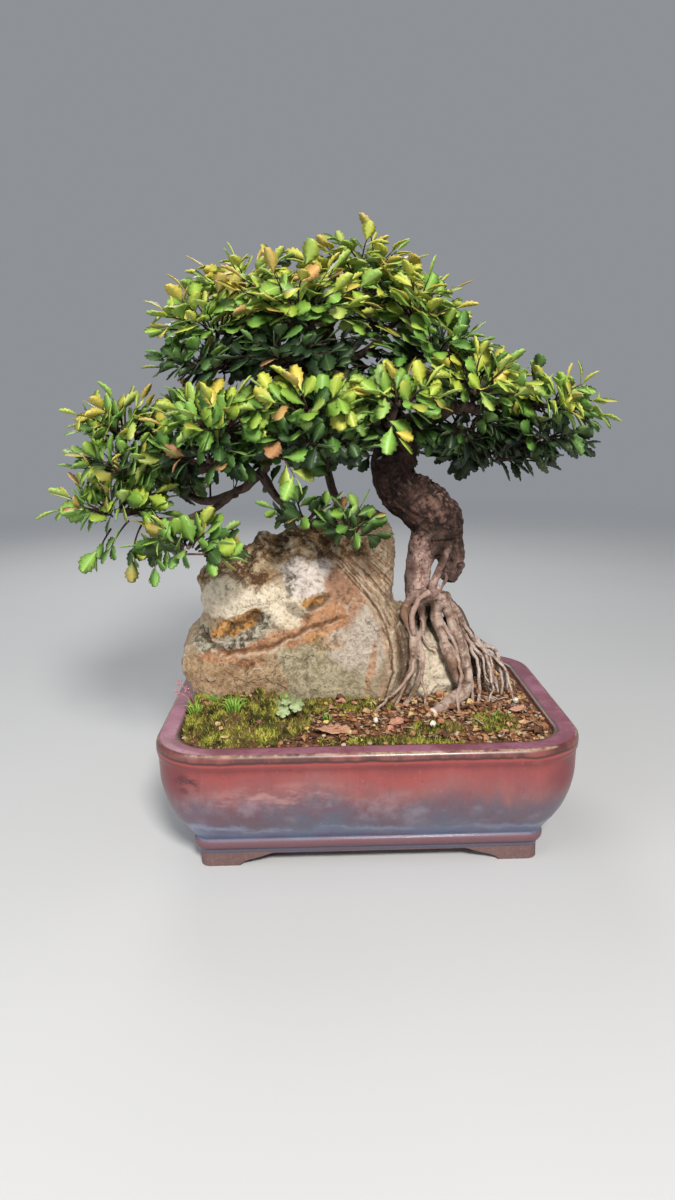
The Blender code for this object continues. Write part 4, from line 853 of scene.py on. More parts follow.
def pushed_clear(line, surface, spare):
    """The line with each point moved off a surface until the limb's own radius clears it."""
    moved = []
    for point in line:
        depth, normal = off_skin(surface, point.xyz)
        wanted = point.w + spare
        place = point.xyz + normal * (wanted - depth) if depth < wanted else point.xyz
        moved.append(Vector((*place, point.w)))
    return moved


def twig_line(middle, half, start):
    """A twig's line from the wood up to just short of its spray."""
    start, middle = Vector(start), Vector(middle)
    reach = middle - start
    towards = Vector((reach.x, reach.y, reach.z * 0.6 + 0.006)).normalized()
    hub = Vector([h * share for h, share in zip(half, HUB_SHARE)])
    radius = 1 / math.sqrt(sum((t / h) ** 2 for t, h in zip(towards, hub)))
    end = middle - towards * (radius + STEM_LENGTH)
    bend = (start + end) / 2 - UP * TWIG_SAG * (end - start).length
    points = (
        (*start, TWIG_RADIUS * 1.35),
        (*bend, TWIG_RADIUS * 1.15),
        (*end, TWIG_END_RADIUS),
        (*(middle - UP * half[2] * 0.2), TWIG_END_RADIUS * 0.8),
    )
    return through(points, 0.005)


def swayed(line, seed, far, ends=0.012):
    """The line of a root led from side to side, thickened and thinned, except at its ends."""
    length = run_of(line)
    run = 0.0
    moved = []
    for k, point in enumerate(line):
        if k:
            run += (point.xyz - line[k - 1].xyz).length
        free = fade(run, 0.0, ends) * fade(length - run, 0.0, ends)
        shift = noise.noise_vector(Vector((run * 50, seed, 0.0))) * far
        shift += noise.noise_vector(Vector((run * 150, seed, 5.0))) * far * 0.35
        swell = 1 + free * 0.3 * noise.noise(Vector((run * 80, seed, 9.0)))
        moved.append(Vector((*(point.xyz + shift * free), point.w * swell)))
    return moved


def fine_root(points, start, end, seed):
    """A thin root's line, from its points and its two radii in millimetres."""
    points = [Vector(p) / 1000 for p in points]
    last = len(points) - 1
    line = [Vector((*p, (start + (end - start) * k / last) / 1000)) for k, p in enumerate(points)]
    return swayed(through(line, 0.0022), seed, 0.0036, 0.005)


def mark_hollows(shape, layer, times, full):
    """Writes into an attribute's last place how far each point stands out of its surroundings, -1 to 1."""
    shape.normal_update()
    before = [vert.co.copy() for vert in shape.verts]
    relax(shape, times)
    for vert, place in zip(shape.verts, before):
        proud = (place - vert.co).dot(vert.normal) / full
        vert[layer] = (vert[layer][0], vert[layer][1], max(-1.0, min(1.0, proud)))
        vert.co = place


def bark_frames(lines):
    """Points down the middle of each limb, with their distance along it and the limb's own way round."""
    frames = []
    for line in lines:
        side = Vector((0.31, 0.82, 0.48))
        run = 0.0
        for k, point in enumerate(line):
            ahead = (line[min(k + 1, len(line) - 1)].xyz - line[max(k - 1, 0)].xyz).normalized()
            side = (side - ahead * side.dot(ahead)).normalized()
            if k:
                run += (point.xyz - line[k - 1].xyz).length
            frames.append((point.xyz.copy(), point.w, run, side.copy(), ahead.cross(side)))
    return frames


def bark_relief(shape, lines):
    """Plates, scars, rings and lumps of the bark, worked along and round each limb."""
    frames = bark_frames(lines)
    tree = KDTree(len(frames))
    for index, (centre, _, _, _, _) in enumerate(frames):
        tree.insert(centre, index)
    tree.balance()
    grain = shape.verts.layers.float_vector.new("grain")
    shape.normal_update()
    moves = []
    for vert in shape.verts:
        near = min(tree.find_n(vert.co, 6), key=lambda found: found[2] - frames[found[1]][1])
        centre, radius, run, side, across = frames[near[1]]
        out = vert.co - centre
        turn = math.atan2(out.dot(across), out.dot(side))
        vert[grain] = (run, turn * radius, 0.0)
        thick = min(1.0, radius / 0.012)
        spot = Vector((math.cos(turn) * radius, math.sin(turn) * radius, run * 0.45))
        spot += noise.noise_vector(vert.co * 90) * 0.003
        right_leg = fade(vert.co.x, 0.058, 0.066) * fade(vert.co.z, 0.18, 0.19)
        old = max(fade(vert.co.z, 0.206, 0.226), 0.8 * right_leg) * fade(radius, 0.004, 0.009)
        height = radius * (noise.noise(vert.co * 60) * 0.12 + noise.noise(vert.co * 150) * 0.06)
        around = Vector((run * 330, math.cos(turn) * 1.6, math.sin(turn) * 1.6))
        height += 0.00045 * thick * noise.noise(around)
        height += 0.0005 * noise.noise(spot * 420) * min(1.0, radius / 0.004)
        if old > 0.01:
            reach, places = noise.voronoi(spot * 165)
            plate = noise.cell(places[0] * 9.0)
            gap = 1 - fade(reach[1] - reach[0], 0.02, 0.3)
            flaky = 0.25 + 0.75 * fade(noise.noise(vert.co * 42), -0.1, 0.3)
            bend = max(right_leg, fade(vert.co.z, 0.224, 0.236) * fade(-vert.co.z, -0.278, -0.262))
            old *= flaky * (0.35 + 0.65 * bend)
            height += old * (0.0016 * plate - 0.0017 * gap + 0.0014 * noise.noise(vert.co * 300))
        for place, size in KNOTS:
            away = (vert.co - Vector(place)).length / size
            if away < 2.2:
                ring = math.sin(away * 9.0) * 0.05 * fade(-away, -1.6, -0.5)
                height += size * (0.28 * math.exp(-away * away) - 0.18 * math.exp(-9.0 * away * away) + ring)
        moves.append(vert.normal * height)
    for vert, move in zip(shape.verts, moves):
        vert.co += move
    # How far each point stands out, kept for painting shade into the bark's hollows
    mark_hollows(shape, grain, 9, 0.001)


def build_wood(bark):
    """The trunk grown together with its large roots, then the thin roots and the branches."""
    surface = BVHTree.FromBMesh(copied("stone"))
    trunk = [through(line, 0.003) for line in (TRUNK, *LEGS)]
    roots = []
    for index, points in enumerate(ROOTS):
        points = [(*point[:3], point[3] * ROOT_SHARES[index]) for point in points]
        line = swayed(through(points, 0.002), index * 3.7, 0.003)
        for _ in range(3):
            line = pushed_clear(line, surface, ROOT_CLEAR_OF_STONE * 0.4)
        roots.append(line)
    main = remeshed(mesh_of(limbs([*trunk, *roots], 16)), WOOD_VOXEL)
    relax(main, 4)
    bark_relief(main, [*trunk, *roots])
    add_piece("trunk_and_surface_roots", main, [bark], ["trunk_and_roots"])

    fine = [fine_root(*root, index * 5.3) for index, root in enumerate(FINE_ROOTS)]
    fine = [pushed_clear(line, surface, 0.0) for line in fine]
    shape = limbs(fine, 8)
    bark_relief(shape, fine)
    add_piece("fine_roots", shape, [bark], ["trunk_and_roots"])

    branches = []
    for index, points in enumerate(BRANCHES):
        points = [(*p[:3], p[3] * (0.92 if k < 2 else 0.8)) for k, p in enumerate(points)]
        branches.append(swayed(through(points, 0.003), index * 2.9, 0.005))
    branches += [twig_line(middle, half, start) for middle, half, start, _ in SPRAYS.values()]
    shape = limbs(branches, 12)
    bark_relief(shape, branches)
    add_piece("branches", shape, [bark], ["trunk_and_roots"])


def leaf_blank(draw):
    """A toothed leaf along +X from its stalk: a thin closed blade, folded a little along its rib."""
    shape = bmesh.new()
    columns = LEAF_TEETH * 2
    blade = shape.verts.layers.float_vector.new("blade")
    made = bmesh.ops.create_grid(shape, x_segments=columns, y_segments=2, size=1.0)["verts"]
    fold = draw.uniform(0.04, 0.3)
    droop = draw.uniform(-0.05, 0.26)
    twist = draw.uniform(-0.25, 0.25)
    full = draw.uniform(0.76, 1.1)
    for index, vert in enumerate(made):
        row, column = divmod(index, columns + 1)
        u, side = column / columns, row - 1
        bulge = max(0.0, math.sin(math.pi * u**1.12))
        half = LEAF_WIDTH / 2 * full * bulge ** (0.88 if u < 0.5 else 0.66)
        ahead = u
        if side and 0 < column < columns:
            half *= 1.13 if column % 2 else 0.88
            ahead += 0.5 / columns if column % 2 else 0.0
        if column == 0:
            ahead, half = -0.1, 0.00022
        x = ahead * LEAF_LENGTH
        y = side * half
        z = fold * abs(y) - droop * LEAF_LENGTH * ahead * ahead + twist * y * u
        vert.co = (x, y, z)
        vert[blade] = (u, side * half / (LEAF_WIDTH / 2), 0.0)
    lower = bmesh.ops.duplicate(shape, geom=shape.faces)["geom"]
    faces = [g for g in lower if isinstance(g, bmesh.types.BMFace)]
    for vert in {v for f in faces for v in f.verts}:
        if not any(e.is_boundary for e in vert.link_edges):
            vert.co.z -= LEAF_THICKNESS
            vert[blade] = (vert[blade][0], vert[blade][1], 1.0)
    bmesh.ops.reverse_faces(shape, faces=faces)
    weld(shape, 1e-6)
    return toned(shape)


def shoot_line(root, target, draw):
    """A young shoot's line, leaving upwards and arching to its tip."""
    lift = (target - root).length * draw.uniform(0.06, 0.22)
    aside = Vector((draw.uniform(-1, 1), draw.uniform(-1, 1), 0.0)) * 0.003
    bend = root.lerp(target, 0.5) + UP * lift + aside
    points = []
    for k in range(8):
        t = k / 7
        place = root * (1 - t) ** 2 + bend * 2 * t * (1 - t) + target * t * t
        points.append(Vector((*place, 0.00085 - 0.0005 * t)))
    return points


def leaf_matrix(place, along, facing, roll, size):
    """Where a leaf goes: its stalk's place, the way it points and the way its upper face looks."""
    facing = (facing - along * facing.dot(along)).normalized()
    across = facing.cross(along)
    turned = Matrix((along, across, facing)).transposed().to_4x4()
    return Matrix.Translation(place) @ turned @ Matrix.Rotation(roll, 4, "X") @ Matrix.Scale(size, 4)


def leaf_out(shape, line, blanks, draw, brightness, size, first):
    """Leaves on both sides of a shoot and one at its tip; brightness(place, share along) gives each its
    painted light and shade.
    """
    total = run_of(line)
    run, next_at, side = 0.0, total * first, 1
    for a, b in zip(line, line[1:]):
        step = (b.xyz - a.xyz).length
        while run + step > next_at:
            along = (b.xyz - a.xyz).normalized()
            out = (a.xyz - CANOPY_HEART).normalized()
            facing = (UP * 0.55 + out * 0.95 + any_vector(draw, 0.42)).normalized()
            across = facing.cross(along).normalized() * side
            splay = draw.uniform(0.65, 1.15)
            way = along * math.cos(splay) + across * math.sin(splay) - UP * draw.uniform(-0.1, 0.28)
            tip = next_at / total
            grown = size * draw.uniform(0.72, 1.1) * (1.0 - 0.3 * tip**3)
            place = a.xyz.lerp(b.xyz, (next_at - run) / step) + way.normalized() * 0.0018 * grown
            light = brightness(place, tip) + draw.uniform(-0.2, 0.2)
            tone = (tip * draw.random(), clamped(light), draw.random())
            matrix = leaf_matrix(place, way.normalized(), facing, draw.uniform(-0.5, 0.5), grown)
            put_leaf(shape, draw.choice(blanks), matrix, tone)
            side = -side
            next_at += LEAF_STEP * draw.uniform(0.85, 1.3)
        run += step
    along = (line[-1].xyz - line[-2].xyz).normalized()
    facing = (UP + any_vector(draw, 0.4)).normalized()
    along = (along + UP * draw.uniform(-0.1, 0.5)).normalized()
    light = brightness(line[-1].xyz, 1.0) + draw.uniform(-0.12, 0.18)
    tone = (0.6 + 0.4 * draw.random(), clamped(light), draw.random())
    roll = draw.uniform(-0.4, 0.4)
    matrix = leaf_matrix(line[-1].xyz, along, facing, roll, size * draw.uniform(0.62, 0.95))
    put_leaf(shape, draw.choice(blanks), matrix, tone)


def leafy(shoots, blanks, draw, brightness, size=1.0, first=0.22):
    """Shoots with their leaves on, as one shape whose second material is the bark's."""
    shape = limbs(shoots, 4)
    for face in shape.faces:
        face.material_index = 1
    for layer in ("grain", "blade", "tone"):
        shape.verts.layers.float_vector.new(layer)
    for line in shoots:
        leaf_out(shape, line, blanks, draw, brightness, size, first)
    return shape


def build_spray(name, blanks, leaf, bark):
    """One spray: shoots from its heart to its outside, with leaves on both sides of each."""
    middle, half, _, sun = SPRAYS[name]
    middle, half = Vector(middle), Vector(half)
    draw = random.Random(name)
    count = round((9 + 9500 * half.x * half.y) * SPARSE.get(name, 1.0))
    shoots = []
    for k in range(count):
        up = -0.42 + 1.4 * (k + 0.5) / count
        turn = GOLDEN_ANGLE * k + draw.uniform(-0.25, 0.25)
        level = math.sqrt(max(0.0, 1 - up * up))
        out = Vector((level * math.cos(turn), level * math.sin(turn), up))
        reach = draw.uniform(0.8, 1.04)
        target = middle + scaled(out, half, reach)
        target.z -= DROOP * max(0.0, target.x - DROOP_FROM) ** 2
        root = middle + scaled(out, half, 0.22) - UP * half.z * 0.3
        shoots.append(shoot_line(root, target, draw))

    # Painted light and shade: higher in the spray and further out along the shoot, the leaves are painted
    # lighter
    def brightness(place, tip):
        high = (place.z - middle.z) / half.z
        return sun + high * (0.2 if high > 0 else 0.55) - 0.36 * (1 - tip)

    shape = leafy(shoots, blanks, draw, brightness, LEAF_SHARE.get(name, 1.0))
    add_piece("spray_" + name, shape, [leaf, bark], ["foliage_" + name])


def build_inner_shoots(blanks, leaf, bark):
    """Short shoots along the branches and twigs, inside the canopy, their leaves painted dark as shade."""
    draw = random.Random(41)
    branches = [through(line, 0.004) for line in BRANCHES]
    branches += [twig_line(middle, half, start) for middle, half, start, _ in SPRAYS.values()]
    branches.append(through([p for p in TRUNK if p[2] > 0.31], 0.004))
    shoots = []
    for number, line in enumerate(branches):
        gap, every = 0.01, INNER_SHOOT_STEP * (1.0 if number < len(BRANCHES) else 1.7)
        for a, b in zip(line[1:], line[2:]):
            gap += (b.xyz - a.xyz).length
            if gap < every:
                continue
            gap = draw.uniform(-0.003, 0.002)
            way = any_vector(draw, 1) + Vector((0.0, 0.0, 0.25))
            tip = a.xyz + way.normalized() * draw.uniform(0.016, 0.036)
            if tip.z > 0.272:
                shoots.append(shoot_line(a.xyz, tip, draw))
    for middle, half, count in UNDERSTORY:
        for k in range(count):
            out = any_vector(draw, 1).normalized() * draw.uniform(0.7, 1.0)
            far = Vector(middle) + scaled(out, half)
            shoots.append(shoot_line(far.lerp(Vector(middle), 0.75), far, draw))

    # Painted shade, a little lighter towards the front
    def brightness(place, tip):
        return 0.08 + 0.16 * fade(-place.y, 0.01, 0.06)

    shape = leafy(shoots, blanks, draw, brightness, 0.82, 0.36)
    add_piece("inner_shoots", shape, [leaf, bark])


def build_hanging_shoots(blanks, leaf, bark):
    """Long loose shoots that leave the sprays, each with a few leaves made bright with painted light."""
    draw = random.Random(12)
    shoots = [shoot_line(Vector(start), Vector(tip), draw) for start, tip in HANGING_SHOOTS]

    # Painted light: the shoots right of the far left are painted brighter
    def brightness(place, tip):
        return 0.36 + 0.36 * fade(place.x, -0.13, -0.09)

    shape = leafy(shoots, blanks, draw, brightness, 1.0, 0.4)
    # The two loose leaves are painted bright, as painted light
    for place, way, size in HANGING_LEAVES:
        matrix = leaf_matrix(Vector(place), Vector(way).normalized(), Vector((0.1, -1.0, 0.45)), 0.0, size)
        put_leaf(shape, blanks[0], matrix, (0.2, 0.84, 0.42))
    add_piece("hanging_shoots", shape, [leaf, bark])


def put_leaf(shape, blank, matrix, tone):
    """Adds a copy of a blank to a shape, with one tone over all of it."""
    mesh = blank.copy()
    mesh.transform(matrix)
    mesh.attributes["tone"].data.foreach_set("vector", list(tone) * len(mesh.vertices))
    shape.from_mesh(mesh)
    bpy.data.meshes.remove(mesh)


def glaze_finish():
    f = Finish("oxblood_glaze", roughness=0.34, coat=0.16, coat_roughness=0.12)
    x, y, z = f.axes(f.place)
    wide, deep = (x * x) ** 0.5, (y * y) ** 0.5
    wave = f.noise(15, 3, at=f.stretched((1.0, 1.0, 0.3)))
    runs = f.noise(85, 4, at=f.stretched((1.0, 1.0, 0.08)))
    hairs = f.noise(330, 3, at=f.stretched((1.0, 1.0, 0.05)))
    cloud = f.noise(32, 5, 0.62)
    fine = f.noise(260, 4, 0.7)
    level = z + (wave - 0.5) * 0.04 + (runs - 0.5) * 0.022
    f.colour = f.ramp(
        f.between(level, 0.02, 0.095, "LINEAR"),
        (0.0, (0.09, 0.125, 0.215)), (0.12, (0.1, 0.118, 0.18)), (0.27, (0.1, 0.094, 0.135)),
        (0.45, (0.118, 0.082, 0.105)), (0.62, (0.218, 0.082, 0.08)), (0.8, (0.252, 0.052, 0.048)),
        (1.0, (0.15, 0.024, 0.026)),
    )
    f.paint(f.between(cloud, 0.4, 0.62) * 0.38, (0.155, 0.04, 0.046))
    blue = f.between(z + (wave - 0.5) * 0.022 + (runs - 0.5) * 0.014, 0.037, 0.03)
    drip = blue * f.between(z + (wave - 0.5) * 0.022, 0.022, 0.028)
    f.paint(drip * 0.6, f.mix(runs, (0.1, 0.145, 0.25), (0.23, 0.27, 0.38)))
    crest_level = z + (wave - 0.5) * 0.034 + (runs - 0.5) * 0.016
    crest = f.between(crest_level, 0.0295, 0.0325) * f.between(crest_level, 0.039, 0.0335)
    f.paint(crest * f.between(cloud, 0.4, 0.55) * 0.55, (0.28, 0.33, 0.45))
    mottle = f.noise(1.0, 5, 0.65, f.stretched((55.0, 55.0, 130.0)))
    pale = f.patch((-0.06, 0.065), (0.044, 0.0085), 0.03, soft=0.6) * f.between(mottle, 0.42, 0.68)
    f.paint(pale * 0.65, (0.41, 0.225, 0.21))
    milk = f.between(f.noise(21, 5, 0.65), 0.5, 0.66)
    milk = milk * f.between(z, 0.028, 0.042) * f.between(z, 0.072, 0.058)
    f.paint(milk * 0.45, (0.29, 0.235, 0.28))
    f.paint(f.between(runs, 0.58, 0.72) * f.between(z, 0.04, 0.058) * 0.3, (0.36, 0.15, 0.14))
    f.paint(f.between(hairs, 0.56, 0.72) * 0.28, (0.09, 0.03, 0.04))
    corner = f.between(wide + (cloud - 0.5) * 0.02, 0.112, 0.138) * f.between(z, 0.05, 0.068)
    f.paint(corner * 0.85, (0.135, 0.012, 0.02))
    blot = f.patch((-0.124, 0.074), (0.008, 0.007), soft=0.5) * f.between(mottle, 0.42, 0.55)
    f.paint(blot * 0.85, (0.04, 0.008, 0.012))
    shaded = f.between(z + (runs - 0.5) * 0.008, 0.08, 0.086)
    f.paint(shaded * 0.4, (0.15, 0.024, 0.024))
    lip = f.between(z, 0.0872, 0.0884)
    lip_face = f.mix(f.between(runs, 0.36, 0.62), (0.08, 0.024, 0.021), (0.18, 0.052, 0.044))
    lip_face = f.mix(f.between(cloud, 0.52, 0.62) * 0.7, lip_face, (0.055, 0.022, 0.02))
    # A dark line low on the lip's face: partly the glaze's own, partly painted shadow under the rim
    low_lip = z + (runs - 0.5) * 0.003
    lip_face = f.mix(f.between(low_lip, 0.092, 0.0905) * 0.85, lip_face, (0.04, 0.012, 0.012))
    lip_face = f.mix(f.between(low_lip, 0.0902, 0.089), lip_face, (0.25, 0.046, 0.042))
    f.paint(lip, lip_face)
    # A tan line along the lip's outer edge: partly glaze broken over the edge, partly a painted highlight
    tan_line = f.between(z + (cloud - 0.5) * 0.0024, 0.0941, 0.095) * f.between(z, 0.0961, 0.0957)
    outer = f.between(wide, 0.142, 0.144).over(f.between(deep, 0.108, 0.11))
    tan_line = tan_line * outer
    tan = f.mix(f.between(fine, 0.35, 0.65), (0.18, 0.1, 0.062), (0.38, 0.28, 0.195))
    f.paint(tan_line * f.between(f.noise(70, 3), 0.3, 0.54) * 0.85, tan)
    top = f.between(z, 0.09565, 0.0959)
    dust = f.between(cloud + (fine - 0.5) * 0.4, 0.36, 0.66)
    dusty = f.mix(dust, (0.17, 0.048, 0.074), (0.29, 0.108, 0.168))
    f.paint(top, dusty)
    inside = f.between(z, 0.094, 0.0952) * f.between(wide, 0.136, 0.1345)
    inside = inside * f.between(wide + deep, 0.219, 0.2165)
    f.paint(inside * f.between(deep, 0.1015, 0.1) * 0.8, (0.07, 0.034, 0.028))
    band = f.between(z, 0.0235, 0.0215)
    # The base band: blue-grey glaze at its edges, darkest at its foot and in the groove at its top as painted
    # shade
    banding = f.ramp(
        f.between(z + (wave - 0.5) * 0.003 + (runs - 0.5) * 0.0016, 0.0095, 0.0235, "LINEAR"),
        (0.0, (0.06, 0.056, 0.085)), (0.26, (0.095, 0.082, 0.12)), (0.4, (0.12, 0.056, 0.07)),
        (0.78, (0.145, 0.066, 0.08)), (0.92, (0.08, 0.08, 0.125)), (1.0, (0.03, 0.026, 0.045)),
    )
    f.paint(band, banding)
    specks = f.between(f.cells(150), 0.13, 0.06) * f.between(f.noise(24, 2), 0.52, 0.62)
    f.paint(specks * 0.75, (0.045, 0.018, 0.022))
    f.paint(f.between(fine, 0.6, 0.76) * 0.16, (0.46, 0.34, 0.33))
    f.paint(f.between(fine, 0.42, 0.28) * 0.25, (0.08, 0.026, 0.034))
    rough = 0.26 + cloud * 0.18 + top * 0.26 + fine * 0.08 + band * 0.15
    relief = f.noise(36, 3) * 0.6 + f.noise(170, 3) * 0.16 + runs * 0.25
    return f.done(rough, f.bump(relief, 0.45, 0.0014))


def clay_finish():
    f = Finish("bare_clay", roughness=0.85)
    grain = f.noise(420, 4, 0.7)
    tint = f.noise(34, 4)
    f.colour = f.mix(tint, (0.085, 0.044, 0.042), (0.165, 0.09, 0.084))
    f.paint(f.between(grain, 0.45, 0.75) * 0.5, (0.2, 0.14, 0.135))
    return f.done(0.75 + grain * 0.2, f.bump(grain, 0.5, 0.0006))


def rock_finish():
    f = Finish("weathered_rock", roughness=0.9, specular=0.25)
    coarse_warp = f.vector("SUBTRACT", f.noise(40, 4, output="Color"), (0.5, 0.5, 0.5))
    fine_warp = f.vector("SUBTRACT", f.noise(170, 4, 0.7, output="Color"), (0.5, 0.5, 0.5))
    shifted = f.vector("ADD", f.vector("SCALE", coarse_warp, 0.02), f.vector("SCALE", fine_warp, 0.0065))
    at = f.vector("ADD", f.place, shifted)
    x, y, z = f.axes(f.place)
    _, _, proud = f.axes(f.attribute("worn"))
    front = f.between(y, 0.012, -0.004)
    cloud = f.noise(22, 6, 0.6)
    mid = f.noise(80, 6, 0.68)
    fine = f.noise(280, 5, 0.72)
    grains = f.noise(620, 3, 0.75)
    tone = cloud * 0.5 + mid * 0.35 + fine * 0.25 - 0.05

    f.colour = f.ramp(tone, (0.36, (0.15, 0.095, 0.055)), (0.46, (0.3, 0.215, 0.135)),
                    (0.56, (0.42, 0.335, 0.23)), (0.68, (0.54, 0.46, 0.35)))
    rusty = f.between(f.noise(17, 5, 0.6), 0.53, 0.64)
    f.paint(rusty * 0.55, f.mix(mid, (0.2, 0.1, 0.05), (0.44, 0.27, 0.15)))

    def tint(dark, light, low=0.4, high=0.6):
        return f.mix(f.between(mid * 0.45 + fine * 0.55, low, high), dark, light)

    cream = tint((0.56, 0.455, 0.32), (0.81, 0.71, 0.55), 0.38, 0.54)
    white = tint((0.31, 0.25, 0.185), (0.5, 0.425, 0.35), 0.38, 0.56)
    chalky = tint((0.43, 0.35, 0.285), (0.69, 0.61, 0.56), 0.36, 0.52)
    pinkish = tint((0.25, 0.145, 0.075), (0.44, 0.3, 0.17))
    orange = tint((0.28, 0.12, 0.055), (0.5, 0.26, 0.13))
    smooth_brown = tint((0.31, 0.155, 0.09), (0.43, 0.245, 0.155))
    sandy = tint((0.23, 0.19, 0.115), (0.42, 0.355, 0.235), 0.42, 0.56)
    # Dark lichen along the ledge, partly painted shadow under the overhang
    lichen_and_shade = tint((0.07, 0.062, 0.038), (0.42, 0.385, 0.3), 0.44, 0.56)
    ochre = tint((0.1, 0.04, 0.014), (0.54, 0.265, 0.07), 0.42, 0.58)
    greenish = tint((0.11, 0.074, 0.038), (0.27, 0.205, 0.122))
    near_black = tint((0.02, 0.013, 0.008), (0.15, 0.088, 0.042), 0.4, 0.6)
    ragged = f.between(mid * 0.55 + fine * 0.45, 0.41, 0.48)
    for middle, half, turn, finish, strength in (
        ((-0.106, 0.124), (0.036, 0.026), 0.05, pinkish, 0.95),
        ((-0.118, 0.1475), (0.018, 0.0095), -0.5, lichen_and_shade, 0.9),
        ((-0.032, 0.125), (0.041, 0.026), -0.05, sandy, 1.0),
        ((-0.07, 0.124), (0.009, 0.024), 0.1, pinkish, 0.75),
        ((-0.088, 0.18), (0.034, 0.0165), -0.05, cream, 1.0),
        ((-0.111, 0.183), (0.018, 0.0165), 0.3, cream, 0.95),
        ((-0.04, 0.195), (0.02, 0.022), 0.2, chalky, 1.0),
        ((-0.06, 0.172), (0.018, 0.012), -0.4, cream, 0.8),
        ((-0.003, 0.151), (0.028, 0.024), -0.6, white, 1.0),
        ((-0.011, 0.186), (0.016, 0.024), -0.2, smooth_brown, 0.95),
        ((-0.029, 0.162), (0.021, 0.0085), 0.42, orange, 0.95),
        ((-0.072, 0.148), (0.036, 0.0055), 0.3, orange, 0.9),
        ((-0.104, 0.1365), (0.024, 0.006), -0.1, orange, 0.8),
        ((-0.028, 0.149), (0.014, 0.006), -0.2, ochre, 0.45),
        ((0.006, 0.13), (0.0028, 0.019), -0.25, orange, 0.7),
        ((0.016, 0.222), (0.017, 0.026), 0.0, greenish, 0.9),
        ((-0.089, 0.1545), (0.026, 0.0075), 0.42, lichen_and_shade, 0.95),
        ((-0.0985, 0.1588), (0.0235, 0.0068), 0.33, ochre, ragged),
        ((-0.083, 0.1672), (0.011, 0.005), 0.6, ochre, ragged),
        ((-0.0345, 0.1768), (0.0105, 0.0058), 0.42, ochre, ragged),
        ((-0.048, 0.169), (0.012, 0.0045), -0.6, near_black, 0.6),
        ((0.052, 0.12), (0.028, 0.04), 0.0, cream, 0.85),
    ):
        f.paint(f.patch(middle, half, turn, at, 0.16) * front * strength, finish)
    streak = f.patch((-0.0545, 0.194), (0.004, 0.016), -0.1, at, 0.4) * front
    f.paint(streak * f.between(fine * 0.6 + mid * 0.4, 0.58, 0.46) * 0.8, (0.085, 0.075, 0.05))
    pits = f.between(f.noise(120, 5, 0.7), 0.58, 0.66) * f.between(z, 0.166, 0.18)
    f.paint(pits * 0.6, (0.12, 0.075, 0.04))

    bend = x - STRATA_REACH + (z - STRATA_MIDDLE) * (z - STRATA_MIDDLE) * STRATA_BOW + (mid - 0.5) * 0.006
    strip = f.between(bend, -0.0075, -0.0025) * f.between(x, 0.038, 0.032)
    strip = strip * f.between(z, 0.098, 0.112) * front
    layers = f.joined(bend * 330.0, y * 15.0, z * 22.0)
    laid = f.noise(1.0, 5, 0.65, layers)
    streaks = f.ramp(laid + (fine - 0.5) * 0.25, (0.36, (0.08, 0.04, 0.02)), (0.43, (0.28, 0.145, 0.075)),
                     (0.5, (0.4, 0.295, 0.19)), (0.57, (0.56, 0.46, 0.34)), (0.66, (0.38, 0.2, 0.1)))
    f.paint(strip * (0.3 + f.between(z, 0.222, 0.196) * 0.55), streaks)
    fissure = f.between(((bend + 0.001) * (bend + 0.001)) ** 0.5, 0.0016, 0.0004)
    fissure = fissure * strip * f.between(z, 0.22, 0.2)
    f.paint(fissure * 0.8, (0.13, 0.055, 0.028))
    rusted = f.between(bend, -0.0085, -0.006) * f.between(bend, -0.002, -0.0045) * strip.over(0.5) * front
    f.paint(rusted * f.between(mid, 0.4, 0.5) * f.between(z, 0.1, 0.115) * 0.65, orange)
    # Painted shade along the upright crease beside the layered strip
    crease = f.between(((x - 0.031) * (x - 0.031)) ** 0.5, 0.0085, 0.0025) * f.between(z, 0.2, 0.18) * front
    f.paint(crease * 0.85, (0.07, 0.036, 0.018))

    crust_edge = z + (-0.066 - x).over(0.0) * 0.35 + (cloud - 0.5) * 0.03 + (mid - 0.5) * 0.024
    crust = f.between(crust_edge, 0.205, 0.211) * f.between(x, 0.012, 0.0)
    crusty = f.ramp(mid * 0.55 + fine * 0.25 + cloud * 0.2, (0.4, (0.016, 0.01, 0.006)),
                    (0.46, (0.08, 0.04, 0.016)), (0.51, (0.26, 0.14, 0.055)), (0.55, (0.48, 0.36, 0.215)),
                    (0.62, (0.64, 0.54, 0.39)))
    f.paint(crust * 0.95, crusty)
    high_ochre = f.patch((-0.074, 0.2), (0.007, 0.005), 0.2, at, 0.3) * front
    f.paint(high_ochre * f.between(fine, 0.42, 0.55), ochre)
    smudge = f.patch((-0.086, 0.201), (0.015, 0.0135), -0.5, at, 0.4) * front
    f.paint(smudge * 0.92, crusty)
    f.paint(smudge * f.between(mid * 0.7 + fine * 0.3, 0.56, 0.46) * 0.85, (0.085, 0.042, 0.018))
    shoulder = f.between(x + (cloud - 0.5) * 0.02, -0.006, 0.012) * f.between(z, 0.19, 0.214) * front
    f.paint(shoulder * 0.5, f.mix(fine, (0.08, 0.044, 0.024), (0.23, 0.15, 0.09)))
    # The top of the stone is painted near black: partly its dark crust, partly painted shadow of the canopy
    summit = f.between(z + (mid - 0.5) * 0.02, 0.228, 0.238)
    f.paint(summit * 0.8, near_black)

